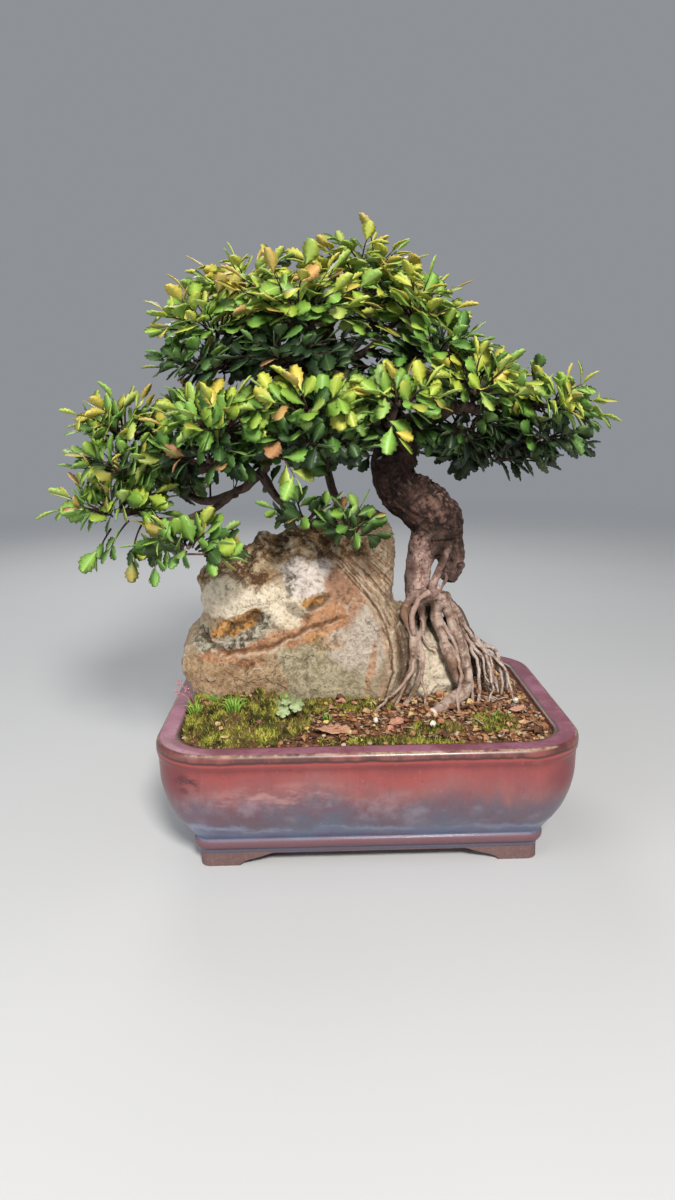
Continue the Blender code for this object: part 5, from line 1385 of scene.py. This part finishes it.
    cracks = f.between(f.cells(24, "DISTANCE_TO_EDGE", at), 0.016, 0.002) * f.between(cloud, 0.5, 0.6)
    f.paint(cracks * 0.22, (0.085, 0.05, 0.03))
    rough_zone = crust.over(f.between(cloud, 0.46, 0.6)) * 0.7 + 0.3
    f.paint(f.between(fine, 0.43, 0.34) * rough_zone * 0.55, (0.11, 0.07, 0.04))
    flecks = f.between(f.noise(430, 4, 0.8), 0.415, 0.36) * f.between(mid, 0.44, 0.54)
    f.paint(flecks * rough_zone * 0.65, (0.06, 0.038, 0.022))
    f.paint(f.between(grains, 0.6, 0.7) * 0.38, (0.76, 0.7, 0.6))
    f.paint(f.between(grains, 0.4, 0.3) * 0.26, (0.09, 0.062, 0.038))
    # Painted shade: the stone is painted darker in its hollows
    f.paint(f.between(proud, -0.14, -0.8) * 0.7, (0.07, 0.04, 0.022))
    # The stone is painted paler where it stands out of its surroundings
    f.paint(f.between(proud, 0.12, 0.7) * 0.4, (0.7, 0.61, 0.48))
    # Painted shadow on the stone under the root bridge
    hollow = f.patch((0.048, 0.163), (0.012, 0.013), soft=0.3)
    f.paint(hollow * 0.9, (0.03, 0.018, 0.012))
    damp = f.between(z + (mid - 0.5) * 0.012, 0.11, 0.099)
    f.paint(damp * 0.65, (0.095, 0.08, 0.034))
    relief = mid * 1.1 + fine * 0.75 + grains * 0.35 - cracks * 0.4 - flecks * 0.2
    return f.done(0.8 + fine * 0.18, f.bump(relief, 1.0, 0.0032))


def bark_finish():
    f = Finish("elm_bark", roughness=0.85, specular=0.25)
    x, y, z = f.axes(f.place)
    run, around, proud = f.axes(f.attribute("grain"))
    bands = f.joined(run * 560.0, around * 120.0, z * 30.0)
    fibre = f.joined(run * 70.0, around * 520.0, z * 30.0)
    rings = f.noise(1.0, 3, 0.6, bands)
    fibres = f.noise(1.0, 4, 0.65, fibre)
    cloud = f.noise(55, 5, 0.6)
    mid = f.noise(130, 4, 0.65)
    fine = f.noise(360, 4, 0.7)
    root = f.mix(f.between(cloud * 0.6 + mid * 0.4, 0.4, 0.6), (0.175, 0.105, 0.076), (0.44, 0.335, 0.275))
    stained = f.between(f.noise(34, 4), 0.48, 0.6) * f.between(x, 0.088, 0.07)
    root = f.mix(stained * 0.75, root, (0.17, 0.088, 0.052))
    mossy = f.between(f.noise(70, 4, 0.7), 0.5, 0.6) * f.between(x, 0.052, 0.04) * f.between(z, 0.15, 0.13)
    root = f.mix(mossy * 0.7, root, (0.12, 0.085, 0.036))
    root = f.mix(f.between(x, 0.066, 0.076) * f.between(mid, 0.56, 0.44) * 0.55, root, (0.11, 0.062, 0.044))
    root = f.mix(f.between(x, 0.074, 0.088) * f.between(mid, 0.4, 0.54) * 0.7, root, (0.6, 0.52, 0.47))
    leg = f.mix(f.between(cloud * 0.5 + mid * 0.5, 0.4, 0.6), (0.13, 0.068, 0.054), (0.4, 0.27, 0.232))
    old = f.mix(f.between(mid * 0.6 + fine * 0.4, 0.42, 0.62), (0.009, 0.005, 0.004), (0.064, 0.032, 0.025))
    height = z + (cloud - 0.5) * 0.036
    f.colour = f.mix(f.between(height, 0.166, 0.188), root, leg)
    right = f.between(x, 0.059, 0.064) * f.between(y, -0.0075, -0.004) * f.between(z, 0.178, 0.188)
    upper = f.between(height + f.between(x, 0.058, 0.07) * 0.014, 0.212, 0.232).over(right * 0.85)
    f.paint(upper, old)
    paleness = 1.0 - upper * 0.8
    f.paint(f.between(rings, 0.57, 0.66) * paleness * 0.5, (0.43, 0.315, 0.26))
    f.paint(f.between(rings, 0.43, 0.34) * 0.6, (0.075, 0.038, 0.028))
    f.paint(f.between(fibres, 0.6, 0.72) * paleness * 0.35, (0.42, 0.3, 0.245))
    f.paint(f.between(fibres, 0.4, 0.3) * 0.4, (0.06, 0.03, 0.022))
    dots = f.joined(run * 330.0, around * 200.0, 0.0)
    scars = f.between(f.cells(1.0, at=dots), 0.26, 0.14) * f.between(f.noise(60, 2), 0.5, 0.6)
    rows = f.joined(run * 360.0, around * 430.0, 0.0)
    smooth_leg = f.between(x, 0.057, 0.053) * f.between(z, 0.176, 0.184) * (1.0 - upper)
    scars = scars.over(f.between(f.cells(1.0, at=rows), 0.3, 0.18) * smooth_leg)
    f.paint(scars * 0.85, (0.04, 0.018, 0.014))
    rust = f.patch((0.056, 0.248), (0.016, 0.012), 0.5, soft=0.4) * f.between(y, 0.008, 0.0)
    f.paint(rust * f.between(mid, 0.44, 0.6) * 0.45, (0.215, 0.12, 0.092))
    f.paint(f.between(f.noise(42, 4), 0.58, 0.68) * 0.3, (0.16, 0.072, 0.048))
    # Painted shade: the bark is painted darker in its hollows
    f.paint(f.between(proud, 0.02, -0.42) * 0.9, (0.018, 0.009, 0.007))
    # The bark is painted paler where it stands out of its surroundings
    f.paint(f.between(proud, 0.15, 0.8) * (0.45 - upper * 0.22), (0.4, 0.28, 0.225))
    # Painted shade under the root bridge and over the thick roots behind the others
    bridge = f.patch((0.05, 0.164), (0.011, 0.013), 0.0, soft=0.45) * f.between(y, -0.018, -0.012)
    behind = f.between(y, 0.001, 0.004) * f.between(y, 0.02, 0.016) * f.between(z, 0.19, 0.176)
    f.paint((bridge * 0.8).over(behind * 0.8), (0.026, 0.014, 0.01))
    between_legs = f.patch((0.058, 0.216), (0.0052, 0.015), 0.1, soft=0.45)
    left_edge = f.patch((0.035, 0.205), (0.006, 0.03), 0.0, soft=0.45)
    shade = (between_legs * 0.85).over(left_edge * 0.65) * f.between(mid, 0.3, 0.5)
    f.paint(shade, (0.022, 0.012, 0.009))
    grime = f.between(z, 0.106, 0.094) * f.between(mid, 0.3, 0.55)
    f.paint(grime * 0.6, (0.085, 0.045, 0.028))
    cut = f.vector("DISTANCE", f.place, tuple(CUT_END), output="Value")
    f.paint(f.between(cut, 0.0062, 0.005), f.mix(fine, (0.56, 0.45, 0.39), (0.76, 0.68, 0.63)))
    relief = rings * 0.7 + fine * 0.45 + mid * 0.6 + fibres * 0.45
    return f.done(0.78 + fine * 0.2, f.bump(relief, 0.95, 0.0016))


def leaf_finish():
    f = Finish("elm_leaf", roughness=0.45, specular=0.45)
    u, across, under = f.axes(f.attribute("blade"))
    age, light, chance = f.axes(f.attribute("tone"))
    patchy = f.noise(120, 3)
    light = light + (patchy - 0.5) * 0.16 + (u - 0.5) * 0.08
    # The tone's light share paints each leaf lighter or darker: painted light and shade
    f.colour = f.ramp(light, (0.0, (0.008, 0.022, 0.008)), (0.18, (0.03, 0.082, 0.016)),
                    (0.38, (0.09, 0.225, 0.034)), (0.56, (0.19, 0.345, 0.036)), (0.76, (0.3, 0.41, 0.038)),
                    (0.97, (0.43, 0.45, 0.05)))
    fresh = f.between(chance, 0.3, 0.34) * f.between(chance, 0.56, 0.5) * f.between(light, 0.4, 0.6)
    f.paint(fresh * 0.8, (0.15, 0.35, 0.06))
    milky = f.between(chance, 0.6, 0.64) * f.between(chance, 0.76, 0.72) * f.between(light, 0.3, 0.5)
    f.paint(milky * 0.5, (0.27, 0.4, 0.13))
    gold = f.between(chance, 0.84, 0.9) * f.between(light, 0.45, 0.7)
    f.paint(gold * 0.75, (0.56, 0.4, 0.06))
    young = f.between(age, 0.5, 0.8) * f.between(chance, 0.3, 0.14) * f.between(light, 0.25, 0.45)
    f.paint(young * 0.75, (0.42, 0.22, 0.06))
    blush = f.between(chance, 0.965, 0.975) * f.between(age, 0.35, 0.55)
    f.paint(blush * 0.75, (0.48, 0.21, 0.095))
    spread = (across * across) ** 0.5
    vein = ((u * 9.0 - spread * 2.4) * 6.2832).sine()
    veins = (f.between(vein, 0.7, 1.0) * 0.7).over(f.between(spread, 0.11, 0.04)) * (1.0 - under * 0.5)
    f.paint(veins * 0.34, f.mix(light, (0.07, 0.12, 0.04), (0.62, 0.64, 0.23)))
    edge = f.between(spread + (patchy - 0.5) * 0.3, 0.78, 0.98) * f.between(light, 0.4, 0.65)
    f.paint(edge * f.between(chance, 0.5, 0.2) * 0.55, (0.45, 0.26, 0.06))
    f.paint(edge * 0.18, (0.5, 0.5, 0.12))
    f.paint(under * 0.3, (0.2, 0.27, 0.11))
    return f.done(0.36 + patchy * 0.22 + under * 0.2, f.bump(veins, -0.5, 0.0004))


def soil_finish():
    f = Finish("potting_soil", roughness=0.95, specular=0.2)
    grain = f.noise(300, 5, 0.7)
    cloud = f.noise(60, 4)
    f.colour = f.ramp(grain + (cloud - 0.5) * 0.4, (0.3, (0.034, 0.017, 0.01)), (0.48, (0.12, 0.054, 0.028)),
                    (0.62, (0.24, 0.11, 0.055)), (0.78, (0.36, 0.19, 0.1)))
    return f.done(0.95, f.bump(grain, 1.0, 0.0015))


def crumb_finish():
    f = Finish("bark_crumbs", roughness=0.9, specular=0.25)
    kind, _, _ = f.axes(f.attribute("tone"))
    grain = f.noise(500, 4, 0.7)
    f.colour = f.ramp(kind, (0.0, (0.034, 0.017, 0.01)), (0.28, (0.145, 0.064, 0.032)),
                      (0.52, (0.32, 0.14, 0.06)), (0.72, (0.42, 0.21, 0.1)), (0.86, (0.33, 0.22, 0.12)),
                      (0.95, (0.46, 0.38, 0.27)))
    f.paint(f.between(grain, 0.4, 0.7) * 0.35, (0.07, 0.034, 0.019))
    return f.done(0.85, f.bump(grain, 0.7, 0.0006))


def moss_finish():
    f = Finish("moss", roughness=0.9, specular=0.2)
    _, light, chance = f.axes(f.attribute("tone"))
    cloud = f.noise(48, 4)
    f.colour = f.ramp(light, (0.0, (0.022, 0.018, 0.006)), (0.4, (0.085, 0.082, 0.015)),
                      (0.7, (0.185, 0.185, 0.027)), (1.0, (0.33, 0.32, 0.055)))
    f.paint(f.between(cloud, 0.5, 0.6) * 0.75, (0.15, 0.092, 0.036))
    f.paint(f.between(chance, 0.78, 0.9) * 0.7, (0.4, 0.4, 0.07))
    f.paint(f.between(chance, 0.14, 0.06) * 0.75, (0.15, 0.075, 0.035))
    return f.done(0.9, f.bump(f.noise(900, 2), 0.5, 0.0004))


def screen_finish():
    f = Finish("screen_plastic", roughness=0.5)
    grain = f.noise(500, 3)
    f.colour = f.mix(grain, (0.018, 0.018, 0.018), (0.045, 0.045, 0.043))
    return f.done(0.4 + grain * 0.3, f.bump(grain, 0.3, 0.0003))


def plain_finish(name, first, second, scale, roughness=0.7):
    f = Finish(name, roughness=roughness, specular=0.35)
    cloud = f.noise(scale, 4, 0.6)
    f.colour = f.mix(f.between(cloud, 0.35, 0.65), first, second)
    return f.done(None, f.bump(cloud, 0.5, 0.0005))


def dry_finish(name, ribbed):
    f = Finish(name, roughness=0.75, specular=0.25)
    kind, _, chance = f.axes(f.attribute("tone"))
    cloud = f.noise(180, 4, 0.65)
    f.colour = f.ramp(kind, (0.0, (0.06, 0.03, 0.018)), (0.16, (0.17, 0.075, 0.036)),
                      (0.36, (0.38, 0.165, 0.075)), (0.56, (0.46, 0.27, 0.15)), (0.74, (0.56, 0.42, 0.2)),
                      (0.92, (0.56, 0.46, 0.11)))
    f.paint(f.between(cloud, 0.44, 0.6) * 0.45, (0.18, 0.08, 0.042))
    f.paint(f.between(chance, 0.76, 0.88) * 0.55, (0.52, 0.24, 0.18))
    relief = cloud
    if ribbed:
        u, across, _ = f.axes(f.attribute("blade"))
        spread = (across * across) ** 0.5
        ribs = ((u * 10.0 - spread * 2.4) * 6.2832).sine()
        ribs = f.between(ribs, 0.75, 1.0).over(f.between(spread, 0.12, 0.03))
        f.paint(ribs * 0.45, (0.64, 0.44, 0.33))
        relief = relief * 0.4 + ribs
    return f.done(0.65 + cloud * 0.25, f.bump(relief, 0.6, 0.0006))


def in_pot(x, y, margin=0.0):
    """Whether a point is on the soil, inside the pot's inner edge."""
    inset = SOIL_INSET + margin
    radius = corner_radius(inset, INSIDE_SHARPENS)
    dx = abs(x) - (POT_WIDTH / 2 - inset - radius)
    dy = abs(y) - (POT_DEPTH / 2 - inset - radius)
    if dx > 0 and dy > 0:
        return dx * dx + dy * dy < radius * radius
    return dx < radius and dy < radius


def moss_depth(x, y):
    """How thick the moss is at a point, with the deepest of its spots there."""
    wobble = 0.1 * rippled(x, y, 45, 9.0) + 0.05 * rippled(x, y, 140, 4.0) + 0.07 * rippled(x, y, 330, 1.0)
    clump = 1.0 + 0.42 * rippled(x, y, 95, 3.0) + 0.2 * rippled(x, y, 230, 6.0)
    deepest = 0.0
    for middle, half, ragged, less, depth, steep, lumpy in MOSS_SPOTS:
        inside = 1 - oval(x, y, middle, half) + ragged * wobble - less
        deepest = max(deepest, depth * (clump if lumpy else 1.0) * ease(inside * steep))
    return deepest


def ground(x, y):
    """The top of what lies in the pot."""
    return soil_height(x, y) + moss_depth(x, y)


def build_soil(soil):
    """One body of soil with a crumbly top, running on under the stone and the moss."""
    shape = bmesh.new()
    edge = pot_ring(SOIL_INSET, corner_radius(SOIL_INSET, INSIDE_SHARPENS), 10, (40, 30))

    def soil_point(row, column):
        corner = edge[column]
        if row == 0:
            return Vector((corner.x * 0.75, corner.y * 0.75, SOIL_FLOOR))
        if row == 1:
            return Vector((corner.x * 0.97, corner.y * 0.97, SOIL_SHOULDER))
        share = 1 - (row - 2) / (SOIL_ROWS - 2)
        x, y = corner.x * share, corner.y * share
        rough = noise.turbulence(Vector((x * 190, y * 190, 2.0)), 4, False) * 0.0016 - 0.001
        return Vector((x, y, soil_height(x, y) + rough * min(1.0, (1 - share) * 18)))

    sleeve(shape, SOIL_ROWS, len(edge), soil_point)
    weld(shape, 1e-5)
    close_holes(shape)
    face_out(shape)
    add_piece("soil_body", shape, [soil], ["soil"])


def crumb_blank(draw):
    """One rough crumb, flattened and a little long."""
    shape = bmesh.new()
    bmesh.ops.create_icosphere(shape, subdivisions=1, radius=1.0)
    flat = draw.uniform(0.35, 0.8)
    for vert in shape.verts:
        vert.co *= draw.uniform(0.65, 1.15)
        vert.co.z *= flat
        vert.co.x *= 1.35
    return toned(shape)


def toned(shape):
    """The shape as a blank that takes a tone when it is put in its place."""
    mesh = mesh_of(shape)
    mesh.attributes.new("tone", "FLOAT_VECTOR", "POINT")
    return mesh


def flake_blank(draw):
    """A curled flake of dead leaf, one long."""
    shape = bmesh.new()
    made = bmesh.ops.create_grid(shape, x_segments=3, y_segments=2, size=0.5)["verts"]
    curl, fold = draw.uniform(-0.9, 1.1), draw.uniform(0.1, 0.8)
    for vert in made:
        x, y = vert.co.x, vert.co.y
        wide = 0.95 - 2.6 * x * x + draw.uniform(-0.12, 0.12)
        ragged = draw.uniform(-0.05, 0.05)
        height = curl * x * x + fold * abs(y) + draw.uniform(-0.05, 0.05)
        vert.co = (x + ragged, y * wide, height)
    thicken(shape, 0.05)
    face_out(shape)
    return toned(shape)


def free_spot(draw, stone, low, high):
    """A point of the ground between two corners that is inside the pot and clear of the stone."""
    while True:
        x, y = draw.uniform(low[0], high[0]), draw.uniform(low[1], high[1])
        if not in_pot(x, y, 0.004):
            continue
        spot = Vector((x, y, ground(x, y)))
        if off_skin(stone, spot)[0] > 0.001:
            return spot


def build_litter(dry, bark, stone):
    """Flakes of dead leaf and short twigs, thickest on the open soil at the front right."""
    draw = random.Random(21)
    blanks = [flake_blank(draw) for _ in range(8)]
    shape = bmesh.new()
    for low, high, count in LITTER:
        for _ in range(count):
            spot = free_spot(draw, stone, low, high)
            size = 0.0018 + 0.0054 * draw.random() ** 2.8
            lean = rocked(draw, 0.5, "X") @ rocked(draw, 0.4, "Y")
            turned = Matrix.Translation(spot + UP * 0.0008) @ spin(draw) @ lean
            tone = (draw.random() ** 1.4, 0.5, draw.random())
            put_leaf(shape, draw.choice(blanks), turned @ Matrix.Scale(size, 4), tone)
    add_piece("leaf_litter", shape, [dry], smooth=False)

    lines = []
    for _ in range(DEAD_TWIGS):
        spot = free_spot(draw, stone, (-0.06, -0.098), (0.132, 0.09)) + UP * 0.0008
        turn, length = draw.uniform(0, FULL_TURN), draw.uniform(0.006, 0.02)
        way = Vector((math.cos(turn), math.sin(turn), draw.uniform(-0.05, 0.18)))
        places = [spot + way * length * (k / 5 - 0.5) for k in range(6)]
        line = [Vector((*place, draw.uniform(0.0003, 0.0006))) for place in places]
        if all(in_pot(p.x, p.y, 0.003) for p in line):
            lines.append(swayed(line, turn, 0.003, 0.002))
    shape = limbs(lines, 5)
    shape.verts.layers.float_vector.new("grain")
    add_piece("dead_twigs", shape, [bark])


def build_fallen_leaves(dry):
    """The three larger dead leaves, curled and toothed, each where its plain solid lies."""
    draw = random.Random(8)
    for name, kind in (("fallen_leaf_large", 0.6), ("fallen_leaf_right", 0.52), ("fallen_leaf_small", 0.4)):
        low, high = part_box(name)
        middle = (low + high) / 2 - SHIFT
        long_way = Vector((high.x - low.x, (high.y - low.y) * 0.5, 0.0)).normalized()
        size = min(1.5, max(high.x - low.x, high.y - low.y) / LEAF_LENGTH)
        shape = bmesh.new()
        for layer in ("blade", "tone"):
            shape.verts.layers.float_vector.new(layer)
        blank = leaf_blank(draw)
        start = Vector((middle.x, middle.y, low.z + 0.0012)) - long_way * size * LEAF_LENGTH * 0.5
        matrix = leaf_matrix(start, (long_way + UP * 0.1).normalized(), UP, 0.25, size)
        put_leaf(shape, blank, matrix, (kind, 0.5, 0.9))
        bmesh.ops.subdivide_edges(shape, edges=shape.edges[:], cuts=1, use_grid_fill=True)
        for vert in shape.verts:
            away = vert.co - middle
            vert.co.z += 22.0 * (away.x * away.x + away.y * away.y) + 0.0012 * noise.noise(vert.co * 260)
        add_piece(name + "_curled", shape, [dry], [name])


def build_grit(grit):
    """The pale grains, pitted as pumice is, and the crumbs that came off them."""
    draw = random.Random(4)
    for name in ("grit_front", "grit_right", "grit_middle"):
        low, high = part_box(name)
        middle, half = (low + high) / 2 - SHIFT, (high - low) / 2
        shape = bmesh.new()
        bmesh.ops.create_icosphere(shape, subdivisions=4, radius=1.0)
        for vert in shape.verts:
            out = vert.co.normalized()
            pitted = 0.12 * noise.turbulence(out * 5.0, 3, True)
            vert.co *= 1.0 + 0.22 * noise.noise(out * 2.3 + middle * 400) - pitted
            vert.co = Vector([c * h for c, h in zip(vert.co, half)]) + middle
        add_piece(name + "_grain", shape, [grit], [name])
    shape = bmesh.new()
    blank = crumb_blank(draw)
    for _ in range(GRIT_CRUMBS):
        x, y = draw.uniform(-0.02, 0.125), draw.uniform(-0.092, -0.02)
        if not in_pot(x, y, 0.006):
            continue
        turned = Matrix.Translation((x, y, ground(x, y) + 0.0006)) @ spin(draw)
        put_leaf(shape, blank, turned @ Matrix.Scale(draw.uniform(0.0006, 0.0013), 4), (0.5, 0.5, 0.5))
    add_piece("grit_crumbs", shape, [grit], smooth=False)


def lobed_leaf(shape, place, size, facing, draw):
    """A round leaf with shallow lobes, cupped, on top of its stalk."""
    facing = facing.normalized()
    turned = facing.to_track_quat("Z", "Y").to_matrix().to_4x4()
    made = bmesh.ops.create_circle(shape, cap_ends=True, cap_tris=True, segments=LOBES * 8, radius=1.0)
    start = draw.uniform(0.0, FULL_TURN)
    for vert in made["verts"]:
        out = vert.co.length
        turn = math.atan2(vert.co.y, vert.co.x)
        edge = 0.62 + 0.38 * abs(math.cos(LOBES * turn / 2)) ** 0.6 + 0.07 * math.cos(LOBES * 3 * turn)
        vert.co = vert.co * edge * size + Vector((0.0, 0.0, 0.18 * size * out * out))
        vert.co = Matrix.Translation(place) @ turned @ Matrix.Rotation(start, 4, "Z") @ vert.co


def build_greens(young, grass, blush):
    """The lobed seedling in the moss, grass and a stalk with a seed head."""
    draw = random.Random(17)
    low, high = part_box("seedling")
    middle = (low + high) / 2 - SHIFT
    foot = Vector((middle.x, middle.y, ground(middle.x, middle.y) - 0.001))
    shape = bmesh.new()
    lines = []
    for turn, far, up, size in LOBED_LEAVES:
        tip = foot + Vector((math.cos(turn) * far, math.sin(turn) * far, up))
        bend = foot.lerp(tip, 0.5) + UP * 0.002
        lines.append([Vector((*p, 0.0004)) for p in (foot, bend, tip)])
        lobed_leaf(shape, tip, size, UP * 1.2 + (tip - foot) * 40 - Vector((0.0, 0.9, 0.0)), draw)
    thicken(shape, 0.0004)
    shape.from_mesh(mesh_of(limbs(lines, 6)))
    face_out(shape)
    add_piece("lobed_seedling", shape, [young], ["seedling"])

    lines = []
    for x, y, blades, tall in GRASS:
        for _ in range(blades):
            turn, far = draw.uniform(0, FULL_TURN), draw.uniform(0.0, 0.004)
            foot = Vector((x + far * math.cos(turn), y + far * math.sin(turn), 0.0))
            foot.z = ground(foot.x, foot.y) - 0.001
            out = Vector((math.cos(turn), math.sin(turn), 0.0)) * draw.uniform(0.2, 0.8) * tall
            rise = UP * tall * draw.uniform(0.6, 1.0)
            steps = [foot, foot + out * 0.25 + rise * 0.6, foot + out * 0.6 + rise * 0.95, foot + out + rise]
            lines.append([Vector((*p, r)) for p, r in zip(steps, (0.0005, 0.00045, 0.0003, 0.0001))])
    shape = limbs(lines, 4)
    add_piece("grass_tufts", shape, [grass])

    foot = SEED_STALK + UP * (ground(SEED_STALK.x, SEED_STALK.y) - 0.001)
    stems, shape = [], bmesh.new()
    for lean, up in SEED_HEADS:
        tip = foot + Vector((lean, -0.002, up))
        stems.append([Vector((*p, 0.0003)) for p in (foot, foot.lerp(tip, 0.5) + UP * 0.002, tip)])
        for _ in range(9):
            place = tip + any_vector(draw, 0.0016)
            bmesh.ops.create_icosphere(shape, subdivisions=1, radius=0.0008, matrix=Matrix.Translation(place))
    shape.from_mesh(mesh_of(limbs(stems, 5)))
    add_piece("seed_heads", shape, [blush])


def build_crumbs(crumb, stone):
    """Crumbs of bark and clay over the open soil, and a few on the moss."""
    draw = random.Random(11)
    blanks = [crumb_blank(draw) for _ in range(7)]
    shape = bmesh.new()
    laid = 0
    while laid < CRUMBS:
        x, y = [draw.uniform(-reach, reach) for reach in SOIL_REACH]
        if not in_pot(x, y, 0.002):
            continue
        if moss_depth(x, y) > 0.0012 and draw.random() < 0.93:
            continue
        z = ground(x, y)
        if off_skin(stone, Vector((x, y, z)))[0] < 0:
            continue
        size = 0.0007 + 0.0016 * draw.random() ** 3
        turn = spin(draw) @ rocked(draw, 0.6, "X")
        matrix = Matrix.Translation((x, y, z + size * 0.15)) @ turn @ Matrix.Scale(size, 4)
        put_leaf(shape, draw.choice(blanks), matrix, (draw.random(), 0.5, draw.random()))
        laid += 1
    add_piece("bark_crumbs", shape, [crumb], ["soil"], smooth=False)


def spike_blank(draw):
    """One leaning spike of moss."""
    shape = bmesh.new()
    bmesh.ops.create_cone(shape, cap_ends=True, segments=3, radius1=0.00042, radius2=0.0, depth=0.002)
    for vert in shape.verts:
        vert.co.z += 0.0008
        vert.co.x += vert.co.z * draw.uniform(-0.3, 0.3)
    return toned(shape)


def build_moss(moss, stone):
    """A lumpy skin where the moss is, with small spikes all over it."""
    shape = bmesh.new()

    def moss_point(row, column):
        x = MOSS_LEFT + (MOSS_RIGHT - MOSS_LEFT) * column / MOSS_COLUMNS
        y = MOSS_FRONT + (MOSS_BACK - MOSS_FRONT) * row / MOSS_ROWS
        lump = 0.0011 * noise.turbulence(Vector((x * 210, y * 210, 5.0)), 3, False)
        deep = moss_depth(x, y)
        return Vector((x, y, soil_height(x, y) + deep + lump * min(1.0, deep / 0.0015) - 0.0012))

    def mossy(place):
        return moss_depth(place.x, place.y) > 0.0002 and in_pot(place.x, place.y, 0.0005)

    sleeve(shape, MOSS_ROWS, MOSS_COLUMNS, moss_point, closed=False)
    bare = [f for f in shape.faces if not all(mossy(v.co) for v in f.verts)]
    bmesh.ops.delete(shape, geom=bare, context="FACES")
    thicken(shape, 0.0016)
    face_out(shape)
    tone = shape.verts.layers.float_vector.new("tone")
    for vert in shape.verts:
        vert[tone] = (0.0, 0.25, 0.5)
    draw = random.Random(5)
    blanks = [spike_blank(draw) for _ in range(6)]
    laid = 0
    while laid < MOSS_SPIKES:
        x, y = draw.uniform(MOSS_LEFT, MOSS_RIGHT), draw.uniform(MOSS_FRONT, MOSS_BACK)
        deep = moss_depth(x, y)
        if deep < 0.0004 or not in_pot(x, y, 0.001):
            continue
        spot = Vector((x, y, soil_height(x, y) + deep - 0.0009))
        if off_skin(stone, spot)[0] < -0.001:
            continue
        laid += 1
        size = draw.uniform(0.7, 2.1)
        lean = rocked(draw, 0.7, "X") @ rocked(draw, 0.7, "Y")
        light = clamped(0.42 + 1.35 * rippled(x, y, 130, 8.0) + draw.uniform(-0.28, 0.28))
        matrix = Matrix.Translation(spot) @ spin(draw) @ lean @ Matrix.Scale(size, 4)
        put_leaf(shape, draw.choice(blanks), matrix, (0.0, light, draw.random()))
    add_piece("moss_cushions", shape, [moss], ["moss_bank", "moss_patch"], smooth=False)


def add_light(name, place, target, size, power, colour, shine=1.0):
    lamp = bpy.data.lights.new(name, "AREA")
    lamp.shape = "DISK"
    lamp.size = size
    lamp.energy = power
    lamp.color = colour
    holder = placed(name, lamp)
    holder.location = Vector(place)
    holder.rotation_euler = (Vector(place) - Vector(target)).to_track_quat("Z", "Y").to_euler()
    lamp.specular_factor = shine
    holder.visible_camera = False


def build_studio():
    f = Finish("pale_floor", roughness=0.9, specular=0.1)
    x, y, _ = f.axes(f.place)
    f.colour = f.mix(f.noise(3.0, 2), (0.5, 0.505, 0.515), (0.54, 0.545, 0.555))
    material = f.done(Alpha=f.between((x * x + y * y) ** 0.5, 2.6, 0.9))
    shape = bmesh.new()
    bmesh.ops.create_circle(shape, cap_ends=True, segments=64, radius=FLOOR_RADIUS)
    floor = placed("floor", mesh_of(shape))
    floor.data.materials.append(material)

    world = bpy.data.worlds.new("studio")
    bpy.context.scene.world = world
    world.use_nodes = True
    sky = world.node_tree.nodes["Background"]
    sky.inputs["Color"].default_value = (0.8, 0.84, 0.9, 1.0)
    sky.inputs["Strength"].default_value = 0.34
    middle = SHIFT + Vector((0.0, 0.0, 0.22))
    add_light("key", SHIFT + Vector((0.22, -1.42, 1.18)), middle, 0.36, 43.0, (1.0, 0.965, 0.91))
    add_light("fill", SHIFT + Vector((-1.3, -0.9, 0.7)), middle, 1.3, 10.0, (0.95, 0.97, 1.0))
    add_light("back", SHIFT + Vector((-0.4, 1.5, 1.2)), middle, 0.9, 11.0, (1.0, 0.98, 0.95), 0.15)


def build_camera():
    yaw, pitch, roll = CAMERA_YAW, CAMERA_PITCH, CAMERA_ROLL
    level = Vector((math.cos(yaw), math.sin(yaw), 0.0))
    ahead = Vector((-math.sin(yaw) * math.cos(pitch), math.cos(yaw) * math.cos(pitch), -math.sin(pitch)))
    upright = Vector((-math.sin(yaw) * math.sin(pitch), math.cos(yaw) * math.sin(pitch), math.cos(pitch)))
    right = level * math.cos(roll) + upright * math.sin(roll)
    top = upright * math.cos(roll) - level * math.sin(roll)
    camera = bpy.data.cameras.new("camera")
    camera.lens = LENS
    camera.sensor_width = SENSOR
    camera.sensor_fit = "AUTO"
    camera.clip_start = 0.01
    holder = placed("camera", camera)
    turned = Matrix((right, top, -ahead)).transposed().to_4x4()
    holder.matrix_world = Matrix.Translation(CAMERA_PLACE + SHIFT) @ turned
    bpy.context.scene.camera = holder


build_camera()
build_studio()
bpy.context.scene.view_settings.view_transform = "Standard"

stone_skin = BVHTree.FromBMesh(copied("stone"))
bark = bark_finish()
leaf = leaf_finish()
build_pot_body(glaze_finish())
build_pot_feet(clay_finish())
build_stone(rock_finish())
build_wood(bark)
build_soil(soil_finish())
build_crumbs(crumb_finish(), stone_skin)
build_moss(moss_finish(), stone_skin)

kinds = random.Random(3)
blanks = [leaf_blank(kinds) for _ in range(LEAF_KINDS)]
for name in SPRAYS:
    build_spray(name, blanks, leaf, bark)
build_inner_shoots(blanks, leaf, bark)
build_hanging_shoots(blanks, leaf, bark)

screen = screen_finish()
for name in ("drain_screen_left", "drain_screen_right"):
    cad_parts[name].material_slots[0].material = screen
build_litter(dry_finish("leaf_litter", False), bark, stone_skin)
build_fallen_leaves(dry_finish("dry_leaf", True))
build_grit(plain_finish("pale_grit", (0.46, 0.42, 0.34), (0.74, 0.71, 0.65), 500, 0.9))
build_greens(
    plain_finish("seedling_leaf", (0.2, 0.26, 0.11), (0.36, 0.42, 0.22), 260, 0.6),
    plain_finish("grass", (0.12, 0.26, 0.03), (0.26, 0.43, 0.06), 200, 0.5),
    plain_finish("seed_head", (0.3, 0.11, 0.11), (0.52, 0.26, 0.28), 600, 0.7),
)
